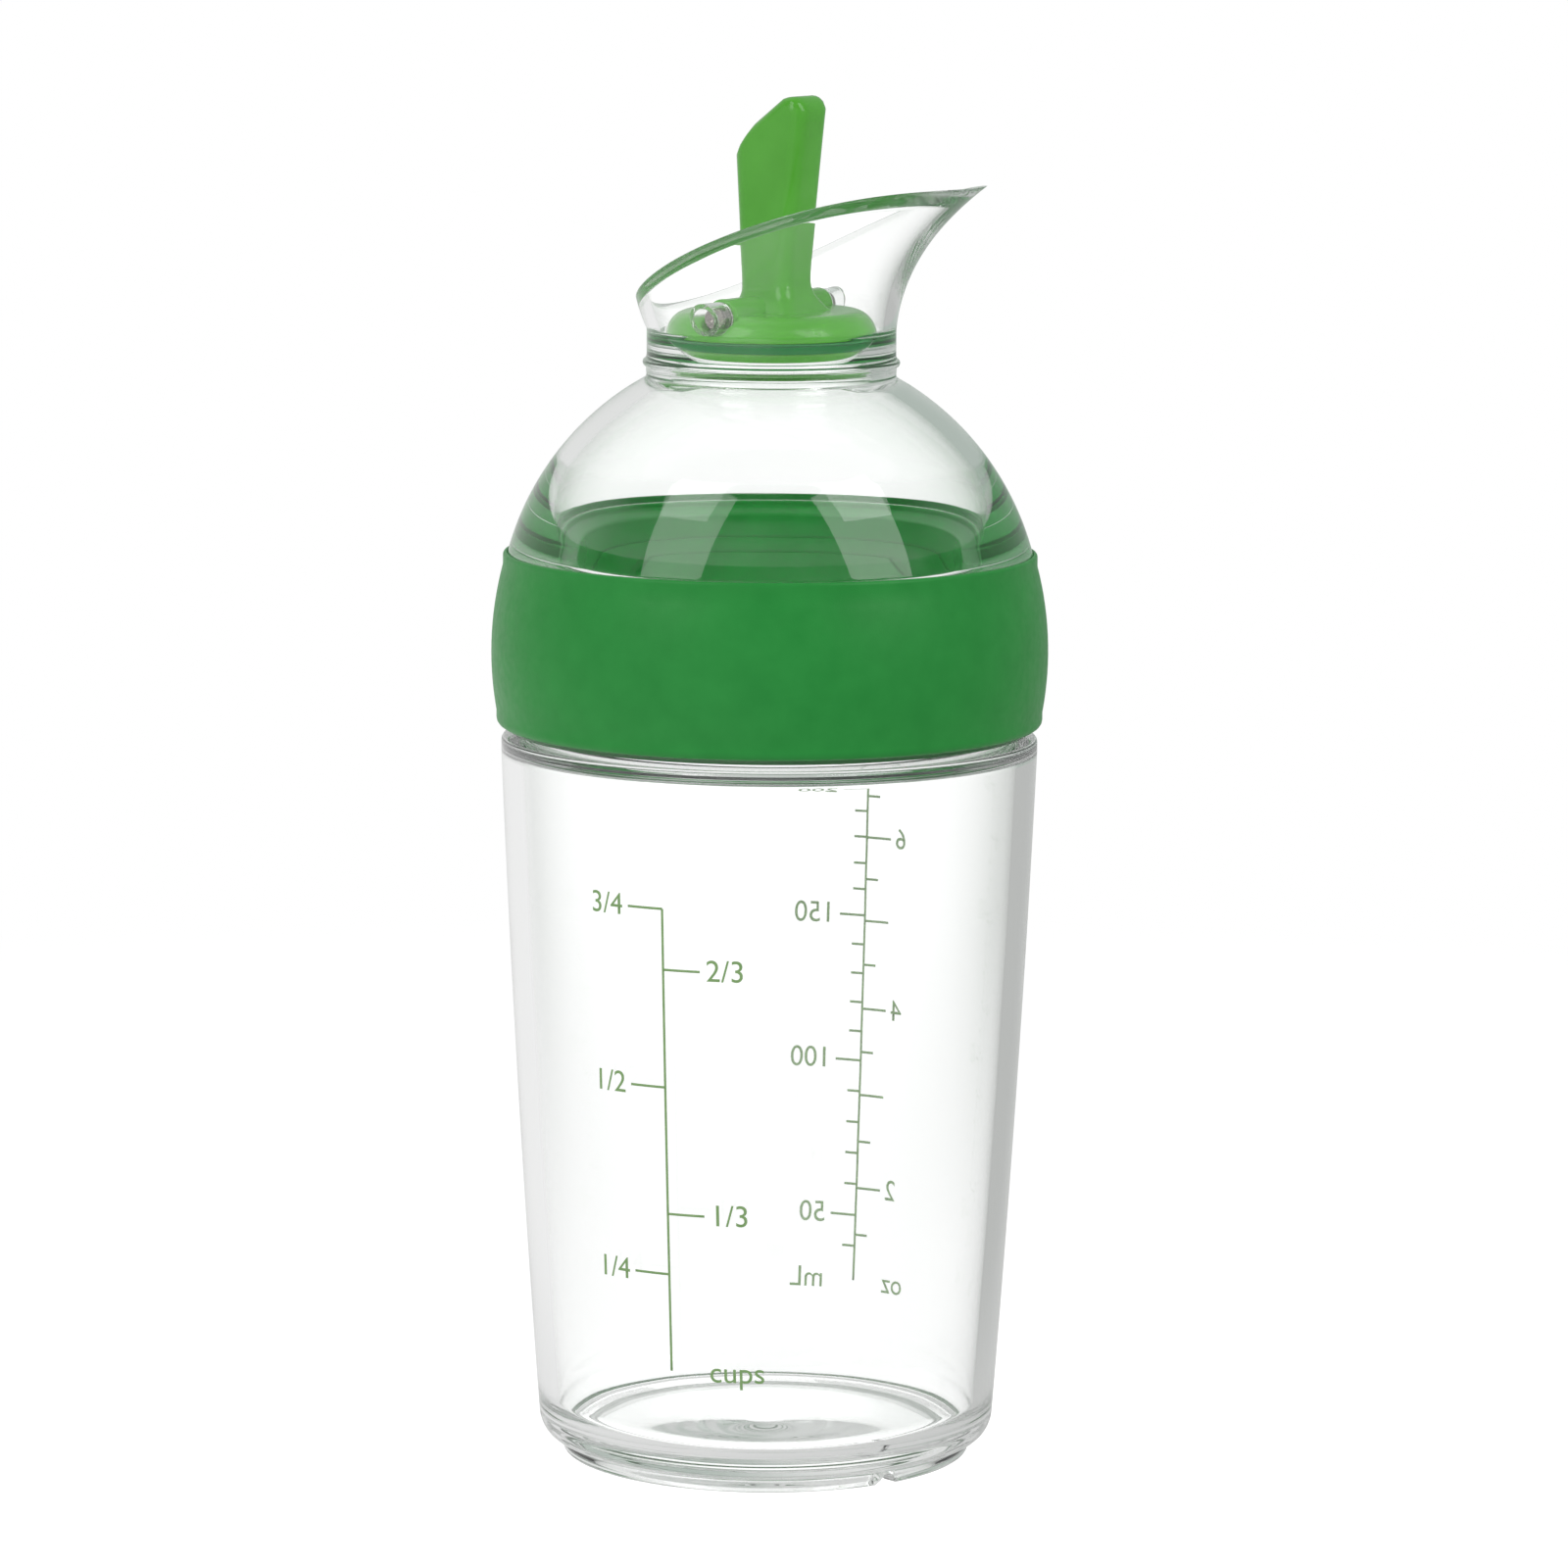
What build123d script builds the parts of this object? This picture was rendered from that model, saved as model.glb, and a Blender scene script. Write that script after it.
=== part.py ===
# Salad dressing shaker bottle: a clear tapered bottle, a screw lid with a clear dome
# and pouring funnel, a soft grip band, and a tilting stopper on a steel pin.
# Millimetres, +Z up, origin on the bottle's axis at the table, +X towards the pouring lip.

import math
import os

from build123d import *

# Bottle
foot_height = 2.0
foot_width = 3.0
foot_step = 0.6
heel_inset = 2.4
heel_height = 3.4
base_radius = 28.5
shoulder_radius = 33.3
shoulder_height = 90.5
shoulder_width = 4.8
shoulder_inner_round = 1.2
wall_bow = 0.35
bottle_wall = 2.5
floor_thickness = 2.8
floor_recess = 1.2
floor_corner_radius = 4.0
gate_mark_radius = 2.5
gate_mark_height = 0.3
drain_notch_width = 2.2
drain_notch_depth = 1.3
drain_notch_angle = -20.0
neck_wall = 2.4
neck_height = 18.5
edge_round = 0.6

# Screw thread shared by the bottle and the lid
thread_pitch = 4.2
thread_turn = 300.0
thread_depth = 1.0
thread_root_width = 1.6
thread_crest_width = 0.8
thread_rise = 7.0
thread_gap = 0.35
thread_sink = 0.3

# Green ring and gasket inside the lid
ring_clearance = 0.3
ring_wall = 1.1
ring_rise = 3.6
ring_lip = 0.9
flange_thickness = 1.2
gasket_thickness = 1.3

# Clear lid: skirt and dome
lid_gap = 0.8
skirt_wall = 1.6
skirt_height = 22.1
dome_rise = 21.0
dome_centre_drop = 9.3
dome_wall = 2.2
dome_shoulder = 1.2

# Grip band: how far it stands out from the skirt at its foot, middle and top
band_foot = 1.4
band_belly = 2.0
band_crown = 0.6
band_bottom_gap = 0.6
band_edge_round = 0.9

# Neck of the lid, where the stopper tilts in a ball-shaped seat
neck_tube_radius = 15.4
neck_tube_wall = 1.65
bead_rise = 2.5
bead_section = 0.5
pivot_rise = 8.8
seat_depth = 6.0
seat_top_drop = 2.2

# Funnel and pouring lip
lip_rise = 18.5
lip_flare = 13.9
lip_flare_power = 2.0
rear_flare = 2.5
rear_flare_power = 4.0
side_flare = 2.0
side_flare_power = 3.0
rim_rear_overhang = 2.1
rim_rear_rise = 1.6
rim_sweep_power = 1.66
funnel_rise_shares = (0, 0.12, 0.3, 0.5, 0.75, 1.05)
rim_point_shares = (0, 0.15, 0.35, 0.6, 0.8, 1)

# Hinge pin and the sockets it turns in
pin_radius = 1.35
pin_grip = 1.4
pin_end_bevel = 0.25
pin_clearance = 0.05
pin_end_spare = 0.3
socket_radius = 2.0
socket_gap = 0.3
socket_depth = 2.95
barrel_radius = 2.3

# Stopper disc and its seal, as heights below and above the pin
stopper_clearance = 0.35
seal_clearance = 0.12
disc_drop = 5.6
groove_drop = 3.0
groove_height = 1.3
groove_depth = 1.5
disc_crown = 0.3
disc_shoulder_run = 2.9
core_wall = 1.6
core_roof = 2.1

# Lever, as distances behind, in front of and above the pin
lever_width = 6.6
lever_foot_rear = 3.0
lever_foot_front = 4.3
lever_waist_rise = 5.8
lever_top_rear = 3.9
lever_top_front = 6.8
lever_crown_front = 3.6
lever_rear_rise = 20.0
lever_top_rise = 26.6
lever_edge_round = 1.9
lever_tip_round = 0.8
lever_flare_rear = 4.2
lever_flare_front = 6.4
lever_flare_rise = 3.1

# One overrun serves every cut
overrun = 1.0

# Share of a quarter arc's reach at its middle
diagonal_share = math.sin(math.pi / 4)

# Radii that follow from one another, from the bottle outwards
foot_radius = base_radius - heel_inset - foot_step
neck_radius = shoulder_radius - shoulder_width
neck_inner = neck_radius - neck_wall
ring_root_radius = neck_radius + thread_depth + ring_clearance
ring_radius = ring_root_radius + ring_wall
skirt_radius = ring_radius + skirt_wall
dome_top_radius = neck_tube_radius + dome_shoulder
seat_sphere_radius = neck_tube_radius - neck_tube_wall
barrel_half_length = seat_sphere_radius - socket_depth
pin_half_length = barrel_half_length + socket_gap + pin_grip

# Heights that follow from one another, from the table upwards
rim_height = shoulder_height + neck_height
flange_height = rim_height + gasket_thickness
skirt_bottom = shoulder_height + lid_gap
dome_start_height = skirt_bottom + skirt_height
ring_top_height = dome_start_height + ring_rise
dome_top_height = dome_start_height + dome_rise
bead_height = dome_top_height + bead_rise
pivot_height = dome_top_height + pivot_rise
throat_height = pivot_height - seat_depth
funnel_start = pivot_height - seat_top_drop
lip_height = funnel_start + lip_rise
rim_rear_height = funnel_start + rim_rear_rise
disc_bottom = pivot_height - disc_drop
disc_top = pivot_height + disc_crown
groove_top = pivot_height - groove_drop
groove_bottom = groove_top - groove_height


def arc_centre(first, second, height):
    """Centre (x, z), at the given height, of the arc through two points (x, z)."""
    first_square = first[0] ** 2 + (first[1] - height) ** 2
    second_square = second[0] ** 2 + (second[1] - height) ** 2
    return (first_square - second_square) / (2 * (first[0] - second[0])), height


dome_centre = arc_centre(
    (skirt_radius, dome_start_height),
    (dome_top_radius, dome_top_height),
    dome_start_height - dome_centre_drop,
)
dome_arc_radius = math.hypot(skirt_radius - dome_centre[0], dome_centre_drop)


def dome_radius_at(height, inset=0):
    """Radius of the dome's surface at a height, drawn in by the inset."""
    arc = dome_arc_radius - inset
    return dome_centre[0] + math.sqrt(arc ** 2 - (height - dome_centre[1]) ** 2)


def dome_height_at(radius, inset=0):
    """Height of the dome's surface at a radius, drawn in by the inset."""
    arc = dome_arc_radius - inset
    return dome_centre[1] + math.sqrt(arc ** 2 - (radius - dome_centre[0]) ** 2)


def seat_radius_at(height, inset=0):
    """Radius at a height of the ball-shaped seat round the hinge axis."""
    ball = seat_sphere_radius - inset
    return math.sqrt(ball ** 2 - (height - pivot_height) ** 2)


def point(radius, height):
    """Point in the XZ plane."""
    return Vector(radius, 0, height)


def turned(edges):
    """Solid of revolution about the Z axis from a closed chain of edges in the XZ plane."""
    return revolve(make_face(Wire(edges)), axis=Axis.Z)


def turned_corners(corners):
    """Solid of revolution about the Z axis from (radius, height) corners."""
    outline = Polyline([point(*corner) for corner in corners], close=True)
    return revolve(make_face(outline), axis=Axis.Z)


def helix_ridge(radius, depth, start_height, root_width, crest_width):
    """Screw ridge: a trapezoid swept up a helix, its root sunk into the wall.

    A positive depth stands outwards from the radius and a negative one inwards.
    """
    side = math.copysign(1, depth)
    sink = -side * thread_sink
    rise = thread_pitch * thread_turn / 360
    path = Helix(thread_pitch, rise, radius)
    # The sunk root keeps the flank angle, so the ridge meets the wall at its root width
    slope = (root_width - crest_width) / 2 / abs(depth)
    sunk_width = root_width + 2 * slope * thread_sink
    outline = Polyline(
        (radius + sink, 0, -sunk_width / 2),
        (radius + depth, 0, -crest_width / 2),
        (radius + depth, 0, crest_width / 2),
        (radius + sink, 0, sunk_width / 2),
        close=True,
    )
    ridge = sweep(make_face(outline), path=path, is_frenet=True)
    return Pos(0, 0, start_height) * ridge


def bottle_outline():
    """Closed outline of the bottle's wall, from the foot up to the rim and back inside."""
    heel_top = foot_height + heel_height
    floor_top = floor_recess + floor_thickness
    lean = (shoulder_radius - base_radius) / (shoulder_height - heel_top)
    mid_height = (shoulder_height + heel_top) / 2
    mid_radius = (shoulder_radius + base_radius) / 2 + wall_bow
    inner_low = floor_top + floor_corner_radius
    inner_base = base_radius - bottle_wall + lean * (inner_low - heel_top)
    roof = shoulder_height - bottle_wall
    inner_high = roof - shoulder_inner_round
    inner_top = shoulder_radius - bottle_wall - lean * (shoulder_height - inner_high)
    roof_end = inner_top - shoulder_inner_round
    inner_mid = mid_radius - bottle_wall
    foot_inner = foot_radius - foot_width
    heel_low = base_radius - heel_inset
    heel_mid = base_radius - heel_inset * (1 - diagonal_share)
    heel_mid_height = heel_top - heel_height * diagonal_share
    corner_mid = inner_base - floor_corner_radius * (1 - diagonal_share)
    corner_mid_height = floor_top + floor_corner_radius * (1 - diagonal_share)
    return [
        Line(point(0, floor_recess), point(foot_inner, floor_recess)),
        Line(point(foot_inner, floor_recess), point(foot_inner + edge_round, 0)),
        Line(point(foot_inner + edge_round, 0), point(foot_radius - edge_round, 0)),
        Line(point(foot_radius - edge_round, 0), point(foot_radius, edge_round)),
        Line(point(foot_radius, edge_round), point(foot_radius, foot_height)),
        Line(point(foot_radius, foot_height), point(heel_low, foot_height)),
        ThreePointArc(
            point(heel_low, foot_height),
            point(heel_mid, heel_mid_height),
            point(base_radius, heel_top),
        ),
        ThreePointArc(
            point(base_radius, heel_top),
            point(mid_radius, mid_height),
            point(shoulder_radius, shoulder_height - edge_round),
        ),
        Line(
            point(shoulder_radius, shoulder_height - edge_round),
            point(shoulder_radius - edge_round, shoulder_height),
        ),
        Line(
            point(shoulder_radius - edge_round, shoulder_height),
            point(neck_radius, shoulder_height),
        ),
        Line(point(neck_radius, shoulder_height), point(neck_radius, rim_height - edge_round)),
        Line(
            point(neck_radius, rim_height - edge_round),
            point(neck_radius - edge_round, rim_height),
        ),
        Line(
            point(neck_radius - edge_round, rim_height),
            point(neck_inner + edge_round, rim_height),
        ),
        Line(
            point(neck_inner + edge_round, rim_height),
            point(neck_inner, rim_height - edge_round),
        ),
        Line(point(neck_inner, rim_height - edge_round), point(neck_inner, roof)),
        Line(point(neck_inner, roof), point(roof_end, roof)),
        ThreePointArc(
            point(roof_end, roof),
            point(
                roof_end + shoulder_inner_round * diagonal_share,
                inner_high + shoulder_inner_round * diagonal_share,
            ),
            point(inner_top, inner_high),
        ),
        ThreePointArc(
            point(inner_top, inner_high),
            point(inner_mid, mid_height),
            point(inner_base, inner_low),
        ),
        ThreePointArc(
            point(inner_base, inner_low),
            point(corner_mid, corner_mid_height),
            point(inner_base - floor_corner_radius, floor_top),
        ),
        Line(point(inner_base - floor_corner_radius, floor_top), point(0, floor_top)),
        Line(point(0, floor_top), point(0, floor_recess)),
    ]


def make_bottle():
    """Clear bottle: foot ring, tapered wall, shoulder and threaded neck."""
    body = turned(bottle_outline())
    ridge = helix_ridge(
        neck_radius,
        thread_depth,
        shoulder_height + thread_rise,
        thread_root_width,
        thread_crest_width,
    )
    gate = Pos(0, 0, floor_recess - gate_mark_height / 2) * Cylinder(
        gate_mark_radius, gate_mark_height
    )
    notch = Box(foot_width + 2 * overrun, drain_notch_width, 2 * drain_notch_depth)
    notch = Pos(foot_radius - foot_width / 2, 0, 0) * notch
    notch = Rot(0, 0, drain_notch_angle) * notch
    return body + ridge + gate - notch


def make_grip_band():
    """Soft green sleeve round the lid's skirt, gently barrelled."""
    low = skirt_bottom + band_bottom_gap
    high = dome_start_height
    foot = skirt_radius + band_foot
    crown = skirt_radius + band_crown
    round_run = band_edge_round * (1 - diagonal_share)
    crown_low = high - band_edge_round * diagonal_share
    outline = [
        Line(point(skirt_radius, low), point(foot - band_edge_round, low)),
        ThreePointArc(
            point(foot - band_edge_round, low),
            point(foot - round_run, low + round_run),
            point(foot, low + band_edge_round),
        ),
        ThreePointArc(
            point(foot, low + band_edge_round),
            point(skirt_radius + band_belly, (low + high) / 2),
            point(crown, crown_low),
        ),
        Line(point(crown, crown_low), point(skirt_radius, high)),
        Line(point(skirt_radius, high), point(skirt_radius, low)),
    ]
    return turned(outline)


def dome_outline():
    """Closed outline of the lid's clear shell, up to the foot of the funnel."""
    skirt_inner = skirt_radius - skirt_wall
    inner_low = dome_height_at(skirt_inner, dome_wall)
    throat_radius = seat_radius_at(throat_height)
    inner_high = dome_height_at(throat_radius, dome_wall)
    outer_high = dome_height_at(neck_tube_radius)
    middle = (dome_start_height + outer_high) / 2
    inner_middle = (inner_low + inner_high) / 2
    seat_middle = (throat_height + funnel_start) / 2
    return [
        Line(point(skirt_inner, skirt_bottom), point(skirt_radius, skirt_bottom)),
        Line(point(skirt_radius, skirt_bottom), point(skirt_radius, dome_start_height)),
        ThreePointArc(
            point(skirt_radius, dome_start_height),
            point(dome_radius_at(middle), middle),
            point(neck_tube_radius, outer_high),
        ),
        Line(point(neck_tube_radius, outer_high), point(neck_tube_radius, funnel_start)),
        Line(
            point(neck_tube_radius, funnel_start),
            point(seat_radius_at(funnel_start), funnel_start),
        ),
        ThreePointArc(
            point(seat_radius_at(funnel_start), funnel_start),
            point(seat_radius_at(seat_middle), seat_middle),
            point(throat_radius, throat_height),
        ),
        Line(point(throat_radius, throat_height), point(throat_radius, inner_high)),
        ThreePointArc(
            point(throat_radius, inner_high),
            point(dome_radius_at(inner_middle, dome_wall), inner_middle),
            point(skirt_inner, inner_low),
        ),
        Line(point(skirt_inner, inner_low), point(skirt_inner, skirt_bottom)),
    ]


def funnel_reaches(rise):
    """Front, rear and side reach of the funnel's outside, at a share of its height."""
    front = neck_tube_radius + lip_flare * rise ** lip_flare_power
    rear = neck_tube_radius + rear_flare * (1 - (1 - rise) ** rear_flare_power)
    side = neck_tube_radius + side_flare * (1 - (1 - rise) ** side_flare_power)
    return front, rear, side


def funnel_section(rise, inset):
    """Level section of the funnel: half an ellipse in front and half one behind."""
    height = funnel_start + (lip_height - funnel_start) * rise
    front, rear, side = (reach - inset for reach in funnel_reaches(rise))
    quarters = []
    for reach, start in ((front, 0), (rear, 90), (rear, 180), (front, 270)):
        quarter = EllipticalCenterArc((0, 0), reach, side, start, arc_size=90)
        quarters.append(Pos(0, 0, height) * quarter)
    return Wire(quarters)


def funnel_horn(inset):
    """Solid horn lofted through level sections, drawn in by the inset."""
    return Solid.make_loft([funnel_section(rise, inset) for rise in funnel_rise_shares])


def rim_height_at(reach_share):
    """Height of the slanted rim, from the rear (share 0) to the lip's tip (share 1)."""
    lift = 1 - (1 - reach_share) ** rim_sweep_power
    return rim_rear_height + (lip_height - rim_rear_height) * lift


def rim_cutter():
    """Everything above the slanted rim, as one tall prism across the funnel."""
    rear = -(neck_tube_radius + rim_rear_overhang)
    tip = neck_tube_radius + lip_flare
    curve = [
        point(rear + (tip - rear) * share, rim_height_at(share)) for share in rim_point_shares
    ]
    top = lip_height + 2 * overrun
    far = tip + 2 * overrun
    back = rear - 2 * overrun
    edges = [
        Spline(curve),
        Line(curve[-1], point(far, lip_height)),
        Line(point(far, lip_height), point(far, top)),
        Line(point(far, top), point(back, top)),
        Line(point(back, top), point(back, rim_rear_height)),
        Line(point(back, rim_rear_height), curve[0]),
    ]
    half_width = neck_tube_radius + side_flare + 2 * overrun
    return extrude(make_face(Wire(edges)), amount=half_width, both=True)


def make_funnel():
    """Flared funnel with its slanted rim and pouring lip."""
    wall = neck_tube_radius - seat_radius_at(funnel_start)
    return funnel_horn(0) - funnel_horn(wall) - rim_cutter()


def pin_socket(side):
    """Clear boss inside the neck, with the blind hole that an end of the pin turns in."""
    inner_face = barrel_half_length + socket_gap
    outer_face = neck_tube_radius - neck_tube_wall / 2
    length = outer_face - inner_face
    hole = pin_half_length + pin_end_spare - inner_face
    boss = Cylinder(socket_radius, length, align=(Align.CENTER, Align.CENTER, Align.MIN))
    bore = Cylinder(
        pin_radius + pin_clearance,
        hole + overrun,
        align=(Align.CENTER, Align.CENTER, Align.MIN),
    )
    boss = boss - Pos(0, 0, -overrun) * bore
    return Pos(0, side * inner_face, pivot_height) * Rot(-90 * side, 0, 0) * boss


def make_spout_dome():
    """Clear lid shell: skirt, dome, neck with the stopper's seat, and funnel."""
    shell = turned(dome_outline())
    bead = Pos(0, 0, bead_height) * Torus(neck_tube_radius, bead_section)
    return shell + [bead, make_funnel(), pin_socket(-1), pin_socket(1)]


def make_thread_ring():
    """Green ring inside the skirt: collar on top, gasket flange and screw thread below."""
    inner = neck_inner + ring_lip
    top_radius = dome_radius_at(ring_top_height, dome_wall) - ring_clearance
    shoulder = dome_height_at(ring_radius, dome_wall) - ring_clearance
    flange_top = flange_height + flange_thickness
    collar_slope = (ring_radius - top_radius) / (ring_top_height - shoulder)
    collar_foot = top_radius - ring_wall + collar_slope * (ring_top_height - flange_top)
    corners = [
        (ring_root_radius, skirt_bottom),
        (ring_radius, skirt_bottom),
        (ring_radius, shoulder),
        (top_radius, ring_top_height),
        (top_radius - ring_wall, ring_top_height),
        (collar_foot, flange_top),
        (inner, flange_top),
        (inner, flange_height),
        (ring_root_radius, flange_height),
    ]
    wall = turned_corners(corners)
    flank_drop = (thread_root_width + thread_crest_width) / 2 + thread_gap
    ridge = helix_ridge(
        ring_root_radius,
        -thread_depth,
        shoulder_height + thread_rise - flank_drop,
        thread_root_width,
        thread_crest_width,
    )
    return wall + ridge


def make_lid_gasket():
    """Flat silicone washer between the bottle's rim and the ring's flange."""
    inner = neck_inner + ring_lip
    outer = ring_root_radius - ring_clearance
    return turned_corners(
        [(inner, rim_height), (outer, rim_height), (outer, flange_height), (inner, flange_height)]
    )


def stopper_disc():
    """Green disc cut from a ball round the hinge axis, grooved for its seal."""
    low_radius = seat_radius_at(disc_bottom, stopper_clearance)
    edge_middle = (disc_bottom + groove_bottom) / 2
    groove_low_radius = seat_radius_at(groove_bottom, stopper_clearance)
    groove_high_radius = seat_radius_at(groove_top, stopper_clearance)
    groove_floor = groove_low_radius - groove_depth
    core_radius = groove_floor - core_wall
    core_top = disc_top - core_roof
    crown_radius = groove_high_radius - disc_shoulder_run
    shoulder_mid_height = groove_top + (disc_top - groove_top) * diagonal_share
    outline = [
        Line(point(0, core_top), point(core_radius - core_roof, core_top)),
        Line(point(core_radius - core_roof, core_top), point(core_radius, disc_bottom)),
        Line(point(core_radius, disc_bottom), point(low_radius, disc_bottom)),
        ThreePointArc(
            point(low_radius, disc_bottom),
            point(seat_radius_at(edge_middle, stopper_clearance), edge_middle),
            point(groove_low_radius, groove_bottom),
        ),
        Line(point(groove_low_radius, groove_bottom), point(groove_floor, groove_bottom)),
        Line(point(groove_floor, groove_bottom), point(groove_floor, groove_top)),
        Line(point(groove_floor, groove_top), point(groove_high_radius, groove_top)),
        ThreePointArc(
            point(groove_high_radius, groove_top),
            point(crown_radius + disc_shoulder_run * diagonal_share, shoulder_mid_height),
            point(crown_radius, disc_top),
        ),
        Line(point(crown_radius, disc_top), point(0, disc_top)),
        Line(point(0, disc_top), point(0, core_top)),
    ]
    return turned(outline)


def lever_blade():
    """Upright blade: widens upwards, with a thumb slope that falls to the rear."""
    foot = pivot_height
    waist = pivot_height + lever_waist_rise
    rear = pivot_height + lever_rear_rise
    top = pivot_height + lever_top_rise
    crown_mid = (lever_crown_front - lever_top_rear) / 2
    side_view = [
        Line(point(-lever_foot_rear, foot), point(-lever_foot_rear, waist)),
        Line(point(-lever_foot_rear, waist), point(-lever_top_rear, rear)),
        ThreePointArc(
            point(-lever_top_rear, rear),
            point(crown_mid, (rear + top) / 2 + lever_tip_round),
            point(lever_crown_front, top),
        ),
        Line(point(lever_crown_front, top), point(lever_top_front, top - lever_tip_round)),
        Line(point(lever_top_front, top - lever_tip_round), point(lever_foot_front, waist)),
        Line(point(lever_foot_front, waist), point(lever_foot_front, foot)),
        Line(point(lever_foot_front, foot), point(-lever_foot_rear, foot)),
    ]
    blade = extrude(make_face(Wire(side_view)), amount=lever_width / 2, both=True)
    outlines = blade.edges().filter_by(Axis.Y, reverse=True)
    upright = outlines.filter_by_position(Axis.Z, foot, rear, (False, False))
    return fillet(upright, lever_edge_round)


def lever_flare():
    """Foot of the blade, spreading onto the disc."""
    low = disc_top - edge_round
    high = pivot_height + lever_flare_rise
    foot = Pos((lever_flare_front - lever_flare_rear) / 2, 0, low) * Ellipse(
        (lever_flare_front + lever_flare_rear) / 2, lever_width / 2 + lever_edge_round
    )
    waist = Pos((lever_foot_front - lever_foot_rear) / 2, 0, high) * Ellipse(
        (lever_foot_front + lever_foot_rear) / 2, lever_width / 2
    )
    return loft([foot, waist])


def make_stopper_lever():
    """Stopper disc, hinge barrel and lever in one piece, turning on the pin."""
    across = Rot(90, 0, 0)
    at_pivot = Pos(0, 0, pivot_height)
    barrel = at_pivot * across * Cylinder(barrel_radius, 2 * barrel_half_length)
    body = stopper_disc() + barrel + lever_blade() + lever_flare()
    body = body - at_pivot * across * Cylinder(pin_radius, 2 * (pin_half_length + overrun))
    relief_length = seat_sphere_radius + overrun - barrel_half_length
    relief = Cylinder(
        socket_radius + socket_gap,
        relief_length,
        align=(Align.CENTER, Align.CENTER, Align.MIN),
    )
    for side in (-1, 1):
        place = Pos(0, side * barrel_half_length, pivot_height) * Rot(-90 * side, 0, 0)
        body = body - place * relief
    return body


def make_stopper_seal():
    """Silicone ring in the disc's groove, its outside shaped to the seat."""
    groove_floor = seat_radius_at(groove_bottom, stopper_clearance) - groove_depth
    middle = (groove_bottom + groove_top) / 2
    low_radius = seat_radius_at(groove_bottom, seal_clearance)
    high_radius = seat_radius_at(groove_top, seal_clearance)
    outline = [
        Line(point(groove_floor, groove_bottom), point(low_radius, groove_bottom)),
        ThreePointArc(
            point(low_radius, groove_bottom),
            point(seat_radius_at(middle, seal_clearance), middle),
            point(high_radius, groove_top),
        ),
        Line(point(high_radius, groove_top), point(groove_floor, groove_top)),
        Line(point(groove_floor, groove_top), point(groove_floor, groove_bottom)),
    ]
    return turned(outline)


def make_hinge_pin():
    """Steel pin through the stopper, with bevelled ends."""
    pin = Cylinder(pin_radius, 2 * pin_half_length)
    pin = chamfer(pin.edges().filter_by(GeomType.CIRCLE), pin_end_bevel)
    return Pos(0, 0, pivot_height) * Rot(90, 0, 0) * pin


pieces = {
    "bottle": make_bottle,
    "lid_gasket": make_lid_gasket,
    "thread_ring": make_thread_ring,
    "spout_dome": make_spout_dome,
    "grip_band": make_grip_band,
    "hinge_pin": make_hinge_pin,
    "stopper_lever": make_stopper_lever,
    "stopper_seal": make_stopper_seal,
}

os.makedirs("parts", exist_ok=True)
for name, make in pieces.items():
    export_step(make(), f"parts/{name}.step")
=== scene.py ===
# Salad dressing shaker bottle: the looks of a clear bottle, its clear lid and the green trim.
# Metres, +Z up, the bottle's axis on Z, +X towards the pouring lip, Y along the stopper's pin.

import math

import bpy
import numpy as np
from mathutils import Matrix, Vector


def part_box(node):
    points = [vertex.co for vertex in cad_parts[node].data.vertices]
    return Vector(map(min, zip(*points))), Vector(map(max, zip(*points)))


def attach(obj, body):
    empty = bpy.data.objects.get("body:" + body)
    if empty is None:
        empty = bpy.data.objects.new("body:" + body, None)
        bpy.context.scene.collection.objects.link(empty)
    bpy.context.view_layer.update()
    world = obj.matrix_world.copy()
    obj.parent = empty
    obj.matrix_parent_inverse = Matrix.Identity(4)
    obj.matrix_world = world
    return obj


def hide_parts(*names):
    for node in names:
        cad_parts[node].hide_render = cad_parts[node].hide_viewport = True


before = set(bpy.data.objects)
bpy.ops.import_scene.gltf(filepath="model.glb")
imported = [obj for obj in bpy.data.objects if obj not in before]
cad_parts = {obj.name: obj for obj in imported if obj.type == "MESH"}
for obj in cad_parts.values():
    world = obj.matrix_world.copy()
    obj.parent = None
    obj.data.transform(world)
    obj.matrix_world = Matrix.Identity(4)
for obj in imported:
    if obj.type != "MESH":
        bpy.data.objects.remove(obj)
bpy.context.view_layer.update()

# Places that the CAD nodes give
bottle_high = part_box("bottle")[1]
gasket_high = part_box("lid_gasket")[1]
ring_low, ring_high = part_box("thread_ring")
band_low, band_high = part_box("grip_band")
dome_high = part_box("spout_dome")[1]
pin_low, pin_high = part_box("hinge_pin")
seal_low, seal_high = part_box("stopper_seal")
lever_low, lever_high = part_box("stopper_lever")

shoulder_radius = bottle_high.x
rim_height = bottle_high.z
flange_height = gasket_high.z
skirt_bottom = ring_low.z
ring_radius = ring_high.x
dome_start = band_high.z
skirt_radius = dome_high.y
lip_height = dome_high.z
pivot_height = (pin_low.z + pin_high.z) / 2
pin_radius = (pin_high.z - pin_low.z) / 2
pin_half_length = pin_high.y
groove_bottom = seal_low.z
groove_top = seal_high.z
disc_bottom = lever_low.z
lever_top = lever_high.z

# Bottle
foot_height = 0.002
foot_width = 0.003
foot_step = 0.0006
foot_round = 0.0006
heel_inset = 0.0024
heel_height = 0.0034
base_radius = 0.0285
shoulder_height = 0.0905
shoulder_width = 0.0048
shoulder_wall = 0.0014
shoulder_inner_round = 0.0007
wall_bow = 0.00035
bottle_wall = 0.0025
floor_thickness = 0.0028
floor_recess = 0.0012
floor_corner = 0.004
gate_mark_radius = 0.0025
gate_mark_height = 0.0003
notch_width = 0.0022
notch_depth = 0.0013
notch_turn = math.radians(-20)
neck_wall = 0.0024
moulded_round = 0.0006

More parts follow.
